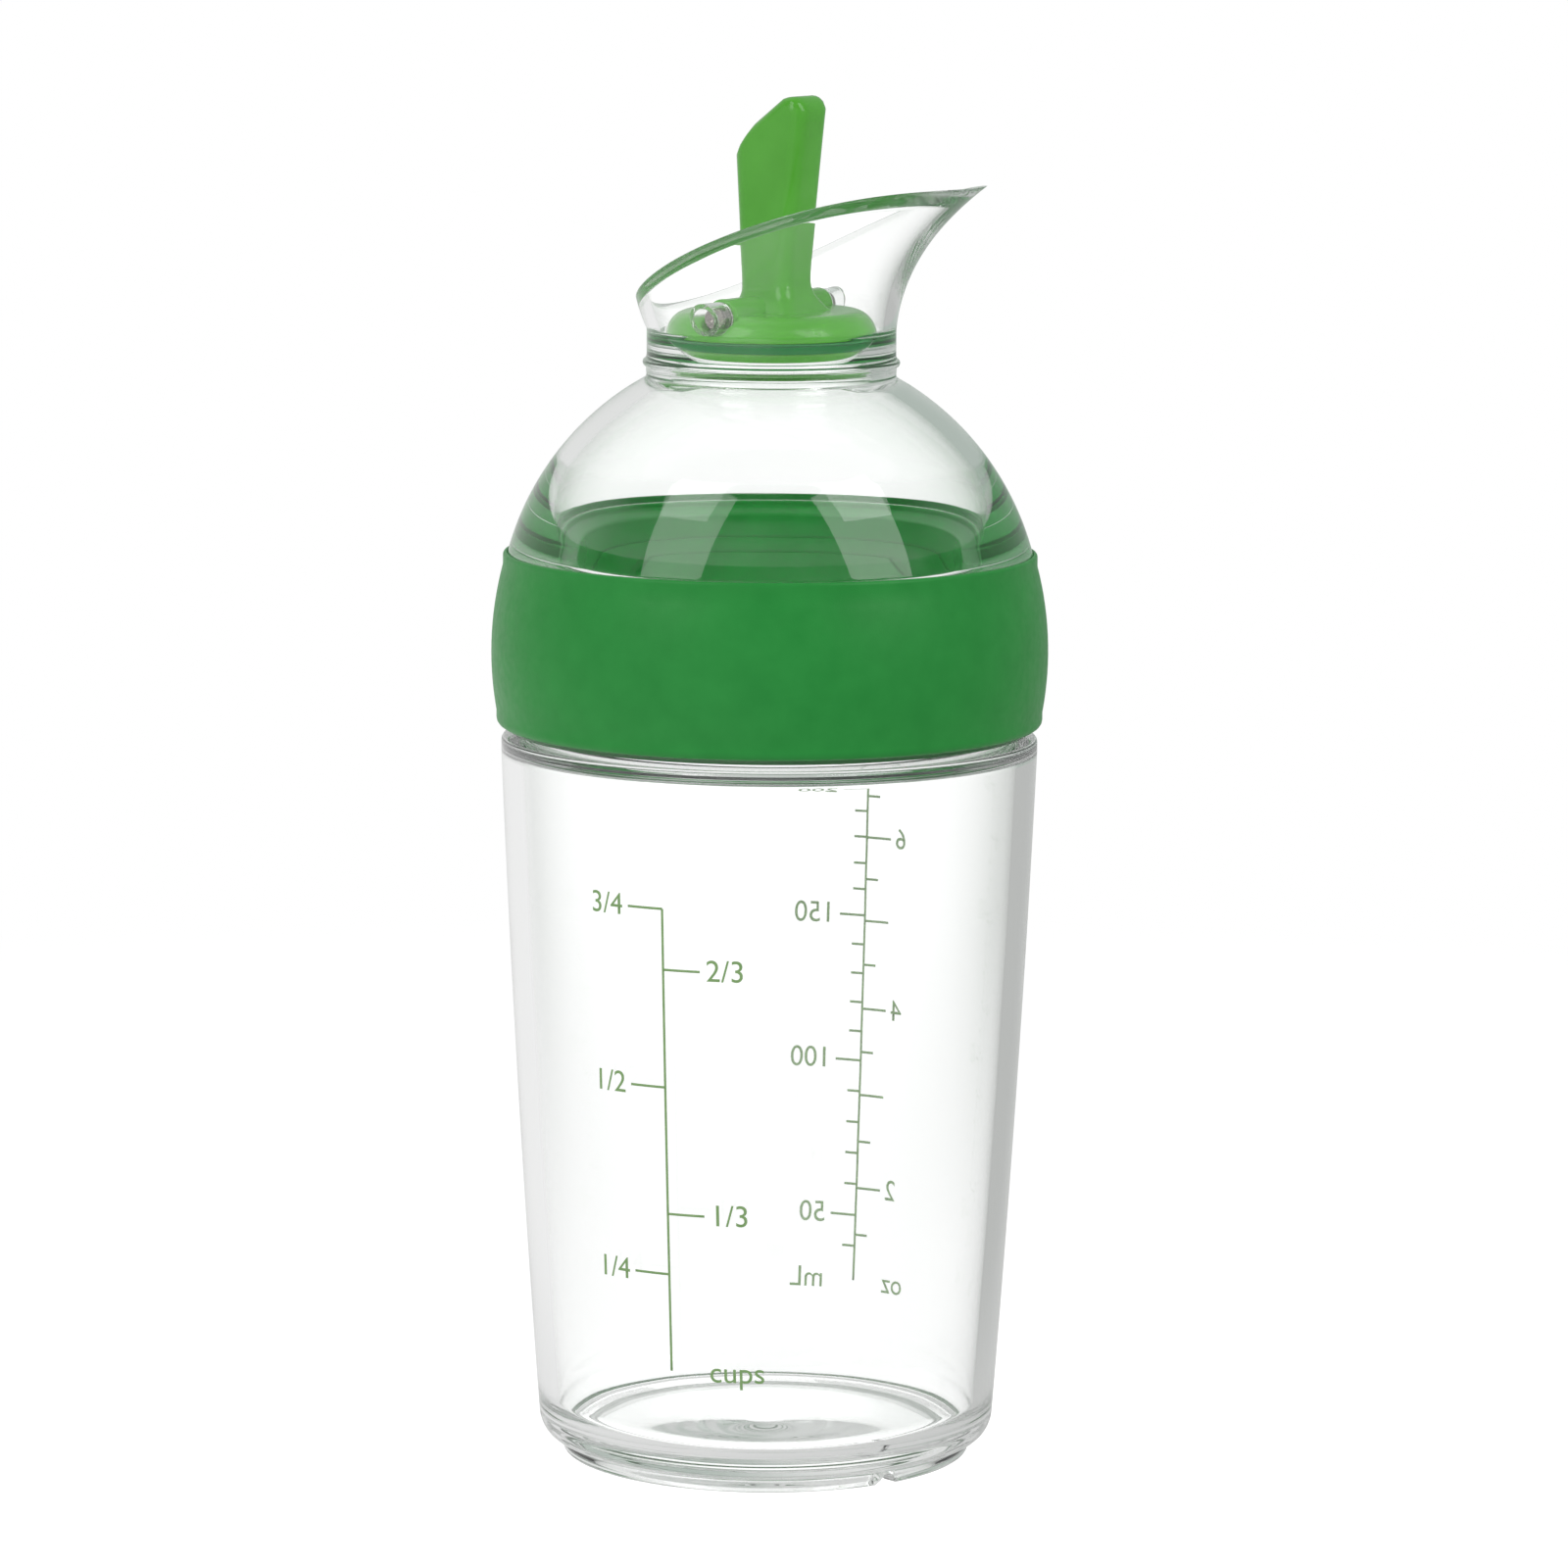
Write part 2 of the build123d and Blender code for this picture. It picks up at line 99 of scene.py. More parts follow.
# Printed scales: heights along the bottle's wall, and distances round it
print_width = 0.0003
print_gap = 0.00001
print_depth = 0.00002
label_size = 0.0038
label_gap = 0.0007
front_turn = math.radians(-79.5)
front_line = (0.0157, 0.0734)
front_left = (0.0734, 0.0513, 0.0279)
front_right = (0.0659, 0.0355)
front_tick = 0.0047
cups_offset = 0.0083
cups_height = 0.0158
back_turn = math.radians(99.3)
back_line = (0.0158, 0.0803)
millilitres = (0.0243, 0.0444, 0.0632, 0.0801)
ounces = (0.0278, 0.0399, 0.0511, 0.0625, 0.0733)
back_tick = 0.0037
marks_between = 5

# Screw thread
thread_pitch = 0.0042
thread_turn = math.radians(300)
thread_depth = 0.001
thread_root = 0.0016
thread_crest = 0.0008
thread_rise = 0.007
thread_gap = 0.00035
thread_fade = math.radians(14)

# Ring and gasket inside the lid
ring_clearance = 0.0003
ring_lip = 0.0009
flange_thickness = 0.0012
ring_collar_drop = 0.0008
ring_sink = 0.00004
plug_gap = 0.00015
plug_wall = 0.0011
plug_depth = 0.0145
plug_groove_shares = (0.345, 0.607, 0.876)
plug_groove_depth = 0.00025
plug_groove_width = 0.0005

# Lid: skirt and dome. The sleeve is moulded onto the skirt, so the two share a little depth
skirt_wall = 0.0016
dome_rise = 0.021
dome_centre_drop = 0.0093
dome_wall = 0.0022
dome_foot_radius = 0.02765
dome_foot_start = 0.0105
dome_foot_end = 0.0016
dome_shoulder = 0.0012
seat_spare = 0.00004
sleeve_sink = 0.00004

# Grip sleeve, as its stand-out from the skirt
band_foot = 0.0014
band_belly = 0.002
band_crown = 0.0006
band_round = 0.0009
crown_round = 0.0004

# Neck and funnel
neck_radius_out = 0.0154
neck_tube_wall = 0.00165
bead_rise = 0.0025
bead_section = 0.0005
seat_depth = 0.006
seat_top_drop = 0.0022
lip_flare = 0.0139
lip_flare_power = 2.0
rear_flare = 0.0025
rear_flare_power = 4.0
side_flare = 0.002
side_flare_power = 3.0
rim_rear_overhang = 0.0021
rim_rear_rise = 0.0016
rim_sweep_power = 1.66
rim_bevel = 0.0014
rim_round = 0.0003

# Sockets and hinge barrel
socket_radius = 0.002
socket_bore = 0.0014
socket_gap = 0.0003
socket_end_spare = 0.0003
barrel_radius = 0.0023
barrel_half_length = 0.0108
socket_wall_gap = 0.00003

# Stopper
stopper_clearance = 0.00035
seal_clearance = 0.00012
groove_depth = 0.0015
disc_crown = 0.0003
disc_shoulder_run = 0.0029
core_wall = 0.0016
core_roof = 0.0021
disc_round = 0.0003

# Lever, as distances behind, in front of and above the pin
lever_half_width = 0.0033
lever_rear_low = 0.003
lever_rear_high = 0.0039
lever_front_low = 0.0043
lever_front_high = 0.0064
lever_rear_flare_share = 0.6
lever_waist_rise = 0.0058
lever_rear_rise = 0.020
lever_crown_front = 0.0047
lever_climb_power = 1.15
lever_tip_drop = 0.0008
lever_edge_round = 0.0017
lever_crown_round = 0.0011
lever_flare = 0.0021
lever_flare_rise = 0.0042
lever_foot_rows = (0, 0.2, 12)
lever_blade_rows = (0.24, 1, 14)
lever_crown_insets = (0.05, 0.12, 0.2, 0.3, 0.45, 0.65, 0.85, 1.0)

# Columns round the pieces
clear_columns = 288
green_columns = 256
gasket_columns = 192
small_columns = 64
pin_columns = 48

# Rows along the stretches of the outlines
neck_steps = 60
wall_steps = 28
band_steps = 16
dome_steps = 52
dome_inner_steps = 44
dome_foot_steps = 24
seat_steps = 10
funnel_steps = 40
rim_steps = 7
ring_steps = 64
disc_seat_steps = 5
disc_crown_steps = 12
seal_steps = 9
lever_corner_steps = 7
scale_steps = 40

# Arcs in the outlines: first angle, last angle and points
heel_arc = (-80, -5, 9)
roof_arc = (88, 2, 10)
floor_arc = (-5, -85, 12)
bead_arc = (-80, 80, 9)
disc_arc = (6, 90, 16)

# Working out
rim_halvings = 40
tiny = 1e-12

# Shader sheet: its spacing, and the colour inputs and output of a Mix node
sheet_step = 200
mix_inputs = (0, 6, 7)
mix_colour = 2

# Finishes. A cloud is (darker tint, lighter tint, waves per metre), a haze is (waves per metre,
# noise detail, lowest roughness, highest) and a grain (waves per metre, detail, height, strength)
noise_span = (0.3, 0.7)
cloud_detail = 3
clear_tint = (0.995, 1, 0.997, 1)
# Painted glow on the funnel's rim: its green colour, where it starts and how far it runs round, and
# how clear the plastic stays under it. The green stands in for the light that the clear wall leads
# up from the green parts below.
rim_painted_glow = (0.1, 0.42, 0.07, 1)
rim_glow_start = 0.1
rim_glow_run = 0.5
rim_glow_clear_share = 0.15
clear_ior = 1.55
clear_haze = (60, 4, 0.0, 0.04)
clear_waves = (90, 1, 0.00004, 0.3)
green_ior = 1.5
green_haze = (700, 3, 0.14, 0.22)
green_ripple = (1500, 2, 0.00001, 0.4)
ring_cloud = ((0.012, 0.25, 0.034, 1), (0.018, 0.284, 0.044, 1), 180)
lever_cloud = ((0.085, 0.4, 0.03, 1), (0.1, 0.44, 0.04, 1), 180)
grip_ior = 1.35
grip_sheen = 0.02
grip_sheen_roughness = 0.4
grip_haze = (900, 4, 0.36, 0.46)
grip_grain = (6000, 2, 0.00002, 0.5)
grip_cloud = ((0.0145, 0.256, 0.038, 1), (0.0205, 0.286, 0.046, 1), 260)
ink_ior = 1.45
ink_haze = (2500, 2, 0.4, 0.6)
ink_cloud = ((0.2, 0.37, 0.13, 1), (0.27, 0.44, 0.18, 1), 900)
silicone_ior = 1.41
silicone_wax = 0.1
silicone_scatter = 0.0005
silicone_haze = (1200, 3, 0.4, 0.55)
silicone_grain = (5000, 2, 0.00001, 0.4)
gasket_colour = (0.6, 0.7, 0.63, 1)
gasket_clearness = 0.8
seal_colour = (0.008, 0.21, 0.042, 1)
steel_grey = (0.36, 0.33, 0.31, 1)
steel_haze = (4000, 2, 0.22, 0.38)
steel_grain = (9000, 2, 0.000005, 0.5)

# Camera
lip_turn = math.radians(33.5)
camera_drop = math.radians(8.44)
camera_roll = math.radians(0.335)
camera_place = (0.5009, -0.7534, 0.2185)
camera_lens = 168.75
sensor_width = 36.0

# Softboxes, in degrees as the lid sees them: turn, lift, width and length. Then the level
softbox_distance = 0.7
left_softbox = (-45, 36, 27, 44, 2.3)
right_softbox = (51, 36, 28, 44, 2.7)

# A ray counts its bounces in whole numbers, so fewer than half of one is none
half_bounce = 0.5

# Backdrop as seen through the plastic, and the studio room as mirrored in it
plain_white = (1, 1, 1, 1)
backdrop_level = 1.16
backdrop_side_reach = 0.38
backdrop_left = (0.8, 0.81, 0.8, 1)
backdrop_right = (0.66, 0.68, 0.66, 1)
backdrop_white_span = (0.36, 0.6)
room_left = (0.74, 0.75, 0.74, 1)
room_right = (0.42, 0.48, 0.44, 1)
room_side_reach = 0.3
room_high = (0.1, 0.1, 0.1, 1)
room_high_start = 0.2
room_high_end = 0.36
room_back_reach = 0.25
room_fill = (0.46, 0.46, 0.46, 1)

# Floor
floor_columns = 96
floor_rings = (0.03, 0.06, 0.12, 0.25, 0.5, 0.9)
floor_glow = (0.8, 0.8, 0.8, 1)
floor_albedo = (0.42, 0.42, 0.42, 1)
floor_fade_start = 0.12
floor_fade_end = 0.4
floor_side_reach = 0.1
floor_left = (0.85, 0.85, 0.85, 1)
floor_right = (0.48, 0.49, 0.48, 1)

# How many times light may pass on or be mirrored
all_bounces = 40
clear_bounces = 36

# Values that follow from the ones above
heel_low = base_radius - heel_inset
heel_top = foot_height + heel_height
wall_top = shoulder_height - 3 * moulded_round
foot_radius = heel_low - foot_step
neck_radius = shoulder_radius - shoulder_width
neck_inner = neck_radius - neck_wall
ring_root = neck_radius + thread_depth + ring_clearance
dome_top_radius = neck_radius_out + dome_shoulder
dome_top = dome_start + dome_rise
seat_radius = neck_radius_out - neck_tube_wall
throat_height = pivot_height - seat_depth
funnel_start = pivot_height - seat_top_drop
funnel_height = lip_height - funnel_start
rim_rear_height = funnel_start + rim_rear_rise
bead_height = dome_top + bead_rise
disc_top = pivot_height + disc_crown
collar_top = dome_start - ring_collar_drop
to_right = (math.cos(lip_turn), math.sin(lip_turn), 0)
to_camera = (math.sin(lip_turn), -math.cos(lip_turn), 0)
upwards = (0, 0, 1)


def corner(radius, height, rounding=0.0):
    """One corner of an outline, with the radius that rounds it."""
    return np.array([[radius, height, rounding]])


def curve(points):
    """A stretch of an outline that is already smooth, so that none of its points is rounded."""
    return np.column_stack([points, np.zeros(len(points))])


def stretch(radius, heights):
    """A smooth stretch of an outline at these heights, with one radius or one for each height."""
    return curve(np.column_stack([np.broadcast_to(radius, heights.shape), heights]))


def ellipse_arc(centre, reach, start, end, steps):
    """Points centre + (reach_x cos a, reach_z sin a), for angles a in degrees from start to end."""
    angle = np.radians(np.linspace(start, end, steps))
    return np.column_stack(
        [centre[0] + reach[0] * np.cos(angle), centre[1] + reach[1] * np.sin(angle)]
    )


def both_halves(half):
    """An outline that goes on from its half as that half's mirror image in height 0."""
    return np.vstack([half, half[::-1] * (1, -1, 1)])


def bowed_line(first, last, bow, steps):
    """Points first + (last - first) s, moved out by bow 4 s (1 - s), for s from 0 to 1."""
    share = np.linspace(0, 1, steps)[:, None]
    points = np.array(first) + (np.array(last) - np.array(first)) * share
    points[:, 0] += bow * 4 * share[:, 0] * (1 - share[:, 0])
    return points


def rounded(path, steps=5):
    """Outline with its marked corners rounded.

    The arc at a corner touches both edges. It starts radius / tan(half the corner's angle) from
    the corner, its centre lies radius / sin(half the angle) along the bisector, and its points
    are the centre + (sin((1 - s) w) A + sin(s w) B) / sin w, where A and B point to its ends, w
    is the angle between them and s goes from 0 to 1. One more point on each edge, a third of
    the radius further out, keeps the edges flat beside the arc.
    """
    place, radius = path[:, :2], path[:, 2]
    marked = radius > 0
    before = np.roll(place, 1, axis=0) - place
    after = np.roll(place, -1, axis=0) - place
    before /= np.maximum(np.linalg.norm(before, axis=1, keepdims=True), tiny)
    after /= np.maximum(np.linalg.norm(after, axis=1, keepdims=True), tiny)
    half = np.arccos(np.clip((before * after).sum(axis=1), -1, 1)) / 2
    half = np.where(marked, half, math.pi / 4)
    run = radius / np.tan(half)
    middle = before + after
    middle /= np.maximum(np.linalg.norm(middle, axis=1, keepdims=True), tiny)
    centre = place + middle * (radius / np.sin(half))[:, None]
    first = place + before * run[:, None] - centre
    last = place + after * run[:, None] - centre
    sweep = (math.pi - 2 * half)[:, None, None]
    share = np.linspace(0, 1, steps)[None, :, None]
    arc = np.sin((1 - share) * sweep) * first[:, None] + np.sin(share * sweep) * last[:, None]
    arc = centre[:, None] + arc / np.sin(sweep)
    spare = (run + radius / 3)[:, None]
    rows = np.concatenate(
        [(place + before * spare)[:, None], arc, (place + after * spare)[:, None]], axis=1
    )
    rows[~marked] = place[~marked][:, None]
    kept = np.ones(rows.shape[:2], bool)
    kept[~marked, 1:] = False
    return rows[kept]


def quads_round(rows, columns, closed):
    """Corner numbers of the quads of a grid that goes once round its columns.

    Quad (i, j) joins (i, j), (i, j + 1), (i + 1, j + 1) and (i + 1, j), with j + 1 taken round,
    and i + 1 too where the rows close on themselves.
    """
    row = np.arange(rows if closed else rows - 1)[:, None]
    column = np.arange(columns)[None, :]
    next_row = (row + 1) % rows
    next_column = (column + 1) % columns
    return np.stack(
        [
            row * columns + column,
            row * columns + next_column,
            next_row * columns + next_column,
            next_row * columns + column,
        ],
        axis=-1,
    ).reshape(-1, 4)


def round_shell(x, y, z, closed):
    """Vertices and faces of a grid of rows round an axis.

    Rows that close on themselves make a ring. Otherwise the first and last rows each shrink to
    one point, their mean, which a fan of triangles joins to the next row.
    """
    points = np.stack([x, y, z], axis=-1)
    columns = points.shape[1]
    if closed:
        faces = quads_round(len(points), columns, True).tolist()
        return points.reshape(-1, 3), faces
    body = points[1:-1]
    poles = points[[0, -1]].mean(axis=1)
    faces = quads_round(len(body), columns, False).tolist()
    column = np.arange(columns)
    next_column = (column + 1) % columns
    last = (len(body) - 1) * columns
    first_pole = np.full(columns, body.shape[0] * columns)
    faces += np.column_stack([first_pole, next_column, column]).tolist()
    faces += np.column_stack([last + column, last + next_column, first_pole + 1]).tolist()
    return np.concatenate([body.reshape(-1, 3), poles]), faces


def angles_round(columns):
    """The angle of each column of a grid round an axis, from 0."""
    return np.arange(columns) / columns * 2 * math.pi


def turned(outline, columns, closed=True, shape=None):
    """Shell of revolution: x = r cos t, y = r sin t, z = h for each (r, h) of the outline.

    An open outline starts and ends on the axis. shape(r, h, t) may move the radii and heights.
    """
    turn = angles_round(columns)
    radius = np.repeat(outline[:, :1], columns, axis=1)
    height = np.repeat(outline[:, 1:2], columns, axis=1)
    if shape is not None:
        radius, height = shape(radius, height, turn[None, :])
    return round_shell(radius * np.cos(turn), radius * np.sin(turn), height, closed)


def across(shell, side, height):
    """A shell of revolution laid along Y: its own axis points to side, at a height on Z."""
    points, faces = shell
    laid = np.stack([points[:, 0], side * points[:, 2], height - side * points[:, 1]], axis=-1)
    return laid, faces


def add_object(name, data):
    """A new object in the scene, from its mesh, camera or lamp data."""
    made = bpy.data.objects.new(name, data)
    bpy.context.scene.collection.objects.link(made)
    return made


def make_piece(name, shells, material, body, node=None):
    """One smooth mesh object from closed shells, on its CAD body and in place of its node."""
    points = np.concatenate([shell[0] for shell in shells])
    faces = []
    start = 0
    for shell_points, shell_faces in shells:
        faces += [[start + index for index in face] for face in shell_faces]
        start += len(shell_points)
    mesh = bpy.data.meshes.new(name)
    mesh.from_pydata(points.tolist(), [], faces)
    mesh.polygons.foreach_set("use_smooth", np.ones(len(faces), bool))
    mesh.update()
    mesh.materials.append(material)
    piece = add_object(name, mesh)
    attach(piece, body)
    if node:
        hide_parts(node)
    return piece


def thread_lift(height, turn, start):
    """Rise of a helical ridge above its wall, from 0 to 1.

    The ridge's middle climbs one pitch a turn. The lift is (root / 2 - distance to the middle)
    over the flank's run, held between 0 and 1, and it fades in and out at the ridge's ends.
    """
    turn = np.mod(turn, 2 * math.pi)
    middle = start + thread_pitch * turn / (2 * math.pi)
    flank = (thread_root - thread_crest) / 2
    lift = np.clip((thread_root / 2 - np.abs(height - middle)) / flank, 0, 1)
    ends = np.minimum(turn, thread_turn - turn) / thread_fade
    return lift * np.clip(ends, 0, 1)


def bottle_lean():
    """Outward lean of the bottle's wall, as radius gained per unit of height."""
    return (shoulder_radius - base_radius) / (shoulder_height - heel_top)


def bottle_outline():
    """The bottle's wall, from its underside's middle round the rim to its floor's middle."""
    foot_inner = foot_radius - foot_width
    floor_top = floor_recess + floor_thickness
    lean = bottle_lean()
    inner_low = floor_top + floor_corner
    inner_base = base_radius - bottle_wall + lean * (inner_low - heel_top)
    roof = shoulder_height - shoulder_wall
    inner_high = roof - shoulder_inner_round
    inner_top = shoulder_radius - bottle_wall - lean * (shoulder_height - inner_high)
    neck_rows = np.linspace(
        shoulder_height + thread_root, rim_height - 4 * moulded_round, neck_steps
    )
    return np.vstack([
        corner(0, floor_recess - gate_mark_height),
        corner(gate_mark_radius - gate_mark_height, floor_recess - gate_mark_height),
        corner(gate_mark_radius, floor_recess),
        corner(foot_inner - moulded_round, floor_recess, moulded_round),
        corner(foot_inner, 0, foot_round),
        corner(foot_radius, 0, foot_round),
        corner(foot_radius, foot_height, foot_round / 3),
        corner(heel_low, foot_height, foot_round / 3),
        curve(ellipse_arc((heel_low, heel_top), (heel_inset, heel_height), *heel_arc)),
        curve(bowed_line(
            (base_radius, heel_top), (shoulder_radius, wall_top), wall_bow, wall_steps
        )),
        corner(shoulder_radius, shoulder_height, moulded_round),
        corner(neck_radius, shoulder_height, moulded_round),
        stretch(neck_radius, neck_rows),
        corner(neck_radius, rim_height, moulded_round),
        corner(neck_inner, rim_height, moulded_round),
        corner(neck_inner, roof, moulded_round),
        curve(ellipse_arc(
            (inner_top - shoulder_inner_round, inner_high),
            (shoulder_inner_round, shoulder_inner_round), *roof_arc,
        )),
        curve(bowed_line(
            (inner_top, inner_high - wall_bow), (inner_base, inner_low), wall_bow, wall_steps
        )),
        curve(ellipse_arc(
            (inner_base - floor_corner, inner_low), (floor_corner, floor_corner), *floor_arc
        )),
        corner(gate_mark_radius, floor_top),
        corner(0, floor_top),
    ])


def bottle_shape(radius, height, turn):
    """Adds the thread on the neck and the drain notch in the foot ring to the bottle's grid."""
    above_shoulder = height > shoulder_height + moulded_round
    on_neck = (radius > neck_radius - moulded_round / 2) & above_shoulder
    lift = thread_lift(height, turn, shoulder_height + thread_rise)
    radius = radius + np.where(on_neck, thread_depth * lift, 0)
    reach = np.abs(np.angle(np.exp(1j * (turn - notch_turn)))) * foot_radius
    cut = np.clip((notch_width / 2 - reach) / foot_round + 0.5, 0, 1)
    in_foot = radius > foot_radius - foot_width - moulded_round
    lowest = np.where(in_foot, notch_depth * cut, 0)
    return radius, np.maximum(height, lowest)


def make_bottle():
    """Clear bottle: foot ring, heel, leaning wall, shoulder, threaded neck and floor."""
    shell = turned(rounded(bottle_outline()), clear_columns, closed=False, shape=bottle_shape)
    plastic = clear_plastic("clear_body")
    return make_piece("clear_bottle", [shell], plastic, "bottle", "bottle")


def wall_radius(height):
    """Radius of the bottle's outside at a height: the leaning line with its bow."""
    share = (height - heel_top) / (wall_top - heel_top)
    bow = wall_bow * 4 * share * (1 - share)
    return base_radius + (shoulder_radius - base_radius) * share + bow


def wrapped(points, turn):
    """Lays flat points (u, z, lift) on the bottle, at angle turn + u / r and radius r + lift."""
    wall = wall_radius(points[:, 1])
    angle = turn + points[:, 0] / wall
    reach = wall + points[:, 2]
    return np.column_stack([reach * np.cos(angle), reach * np.sin(angle), points[:, 1]])


def stroke(start, end, steps=12):
    """A flat printed line between two places (u, z), as a thin closed bar of cross-sections."""
    start, end = np.array(start), np.array(end)
    way = (end - start) / np.linalg.norm(end - start)
    side = np.array([-way[1], way[0]]) * print_width / 2
    middle = start + (end - start) * np.linspace(0, 1, steps)[:, None]
    low, high = print_gap, print_gap + print_depth
    loop = [(side, low), (-side, low), (-side, high), (side, high)]
    rows = np.stack(
        [np.column_stack([middle + shift, np.full(steps, lift)]) for shift, lift in loop], axis=1
    )
    faces = quads_round(steps, 4, False).tolist()
    faces += [[3, 2, 1, 0], [4 * steps - 4, 4 * steps - 3, 4 * steps - 2, 4 * steps - 1]]
    return rows.reshape(-1, 3), faces


def label(text, place, align):
    """Printed letters as a flat mesh with a thickness, beside or centred on a place (u, z)."""
    curve_data = bpy.data.curves.new("label", "FONT")
    curve_data.body = text
    curve_data.size = label_size
    curve_data.align_x = align
    curve_data.align_y = "CENTER"
    curve_data.extrude = print_depth / 2
    letters = bpy.data.objects.new("label", curve_data)
    mesh = bpy.data.meshes.new_from_object(letters)
    points = np.empty(len(mesh.vertices) * 3)
    mesh.vertices.foreach_get("co", points)
    points = points.reshape(-1, 3) + (place[0], place[1], print_gap + print_depth / 2)
    faces = [list(face.vertices) for face in mesh.polygons]
    bpy.data.objects.remove(letters)
    bpy.data.curves.remove(curve_data)
    bpy.data.meshes.remove(mesh)
    return points, faces


def ticks(heights, reach, texts=()):
    """Tick lines from the scale's line out to a reach, with their labels beyond them."""
    parts = [stroke((0, height), (reach, height)) for height in heights]
    align = "LEFT" if reach > 0 else "RIGHT"
    beyond = reach + math.copysign(label_gap, reach)
    parts += [label(text, (beyond, height), align) for text, height in zip(texts, heights)]
    return parts


def make_scale(name, turn, parts):
    """One printed scale, from its flat parts wrapped on the bottle."""
    shells = [(wrapped(points, turn), faces) for points, faces in parts]
    make_piece(name, shells, printed_green(), "bottle")


def make_front_scale():
    """Cup marks on the near side: a line with fractions to its left and right."""
    line = stroke((0, front_line[0]), (0, front_line[1]), scale_steps)
    left = ticks(front_left, -front_tick, ("3/4", "1/2", "1/4"))
    right = ticks(front_right, front_tick, ("2/3", "1/3"))
    unit = label("cups", (cups_offset, cups_height), "CENTER")
    make_scale("printed_cup_scale", front_turn, [line, *left, *right, unit])


def make_back_scale():
    """Millilitre and ounce marks on the far side, which read backwards through the bottle."""
    line = stroke((0, back_line[0]), (0, back_line[1]), scale_steps)
    between = [
        low + (high - low) * step / marks_between
        for low, high in zip(millilitres, millilitres[1:]) for step in range(1, marks_between)
    ]
    lowest = millilitres[0] - (millilitres[1] - millilitres[0]) / marks_between
    half = [(low + high) / 2 for low, high in zip(ounces, ounces[1:])]
    ends = [ounces[0] - (ounces[1] - ounces[0]) / 2, ounces[-1] + (ounces[-1] - ounces[-2]) / 2]
    parts = ticks(millilitres, back_tick, ("50", "100", "150", "200"))
    parts += ticks([lowest, *between], back_tick / 2)
    parts += ticks(ounces, -back_tick, ("2", "", "4", "", "6"))
    parts += ticks([*half, *ends], -back_tick / 2)
    parts += [label("mL", (back_tick + label_gap, back_line[0]), "LEFT")]
    parts += [label("oz", (-back_tick - label_gap, back_line[0]), "RIGHT")]
    make_scale("printed_volume_scale", back_turn, [line, *parts])


def band_outline():
    """The grip sleeve's section: barrelled outside, with its inside sunk into the skirt."""
    low = band_low.z
    high = dome_start
    inside = skirt_radius - sleeve_sink
    foot = skirt_radius + band_foot
    crown = skirt_radius + band_crown
    belly = band_belly - (band_foot + band_crown) / 2
    return np.vstack([
        corner(inside, low, crown_round / 2),
        corner(foot, low, band_round),
        curve(bowed_line(
            (foot, low + 2 * band_round), (crown, high - 4 * crown_round), belly, band_steps
        )),
        corner(crown, high, crown_round),
        corner(inside, high, crown_round / 3),
    ])


def make_grip_band():
    """Soft green sleeve round the skirt."""
    shell = turned(rounded(band_outline()), green_columns)
    return make_piece("soft_grip_sleeve", [shell], soft_green(), "lid", "grip_band")


def dome_circle(inset):
    """Centre x, centre z and radius of the dome's arc, drawn in by the inset.

    The centre's height is named, and x makes both ends of the arc as far from it.
    """
    z = dome_start - dome_centre_drop
    low_square = skirt_radius ** 2 + dome_centre_drop ** 2
    high_square = dome_top_radius ** 2 + (dome_top - z) ** 2
    x = (low_square - high_square) / (2 * (skirt_radius - dome_top_radius))
    return x, z, math.hypot(skirt_radius - x, dome_centre_drop) - inset


def dome_arc(low, high, inset, steps):
    """Points of the dome's arc, drawn in by the inset, between two heights.

    The radius at a height is x + sqrt(R^2 - dz^2), with x the centre's and dz the height above it.
    """
    x, z, arc = dome_circle(inset)
    height = np.linspace(low, high, steps)
    return np.column_stack([x + np.sqrt(arc ** 2 - (height - z) ** 2), height])


def dome_height(radius, inset):
    """Height at which the dome's arc, drawn in by the inset, has a radius."""
    x, z, arc = dome_circle(inset)
    return z + math.sqrt(arc ** 2 - (radius - x) ** 2)


def seat_at(height, inset=0.0):
    """Radius at a height of the ball-shaped seat round the pin: sqrt(R^2 - dz^2)."""
    return np.sqrt((seat_radius - inset) ** 2 - (height - pivot_height) ** 2)


def levelling(share, power):
    """1 - (1 - share)^power, which starts to climb at once and levels out at 1."""
    return 1 - (1 - share) ** power


def funnel_side(rise):
    """Half width of the funnel's outside at a share of its height."""
    return neck_radius_out + side_flare * levelling(rise, side_flare_power)


def funnel_reach(rise, turn, inset):
    """x and y of the funnel's wall at a share of its height and an angle round it.

    The level sections are half ellipses. In front the reach grows with the rise's square, and
    at the rear and the sides it grows as 1 - (1 - rise) to a power, so the wall starts to lean
    at once there. x = reach cos t and y = side sin t, both drawn in by the inset.
    """
    front = neck_radius_out + lip_flare * rise ** lip_flare_power
    rear = neck_radius_out + rear_flare * levelling(rise, rear_flare_power)
    reach = np.where(np.cos(turn) > 0, front, rear)
    return (reach - inset) * np.cos(turn), (funnel_side(rise) - inset) * np.sin(turn)


def rim_at(x):
    """Height of the slanted rim over x: rear height + rise (1 - (1 - s)^power), s from the rear."""
    rear = -(neck_radius_out + rim_rear_overhang)
    share = np.clip((x - rear) / (neck_radius_out + lip_flare - rear), 0, 1)
    return rim_rear_height + (lip_height - rim_rear_height) * levelling(share, rim_sweep_power)


def rise_at_rim(turn, inset):
    """Share of the funnel's height at which its wall meets the rim, found by halving."""
    low = np.zeros_like(turn)
    high = np.ones_like(turn)
    for _ in range(rim_halvings):
        middle = (low + high) / 2
        x = funnel_reach(middle, turn, inset)[0]
        under = funnel_start + funnel_height * middle < rim_at(x)
        low = np.where(under, middle, low)
        high = np.where(under, high, middle)
    return low


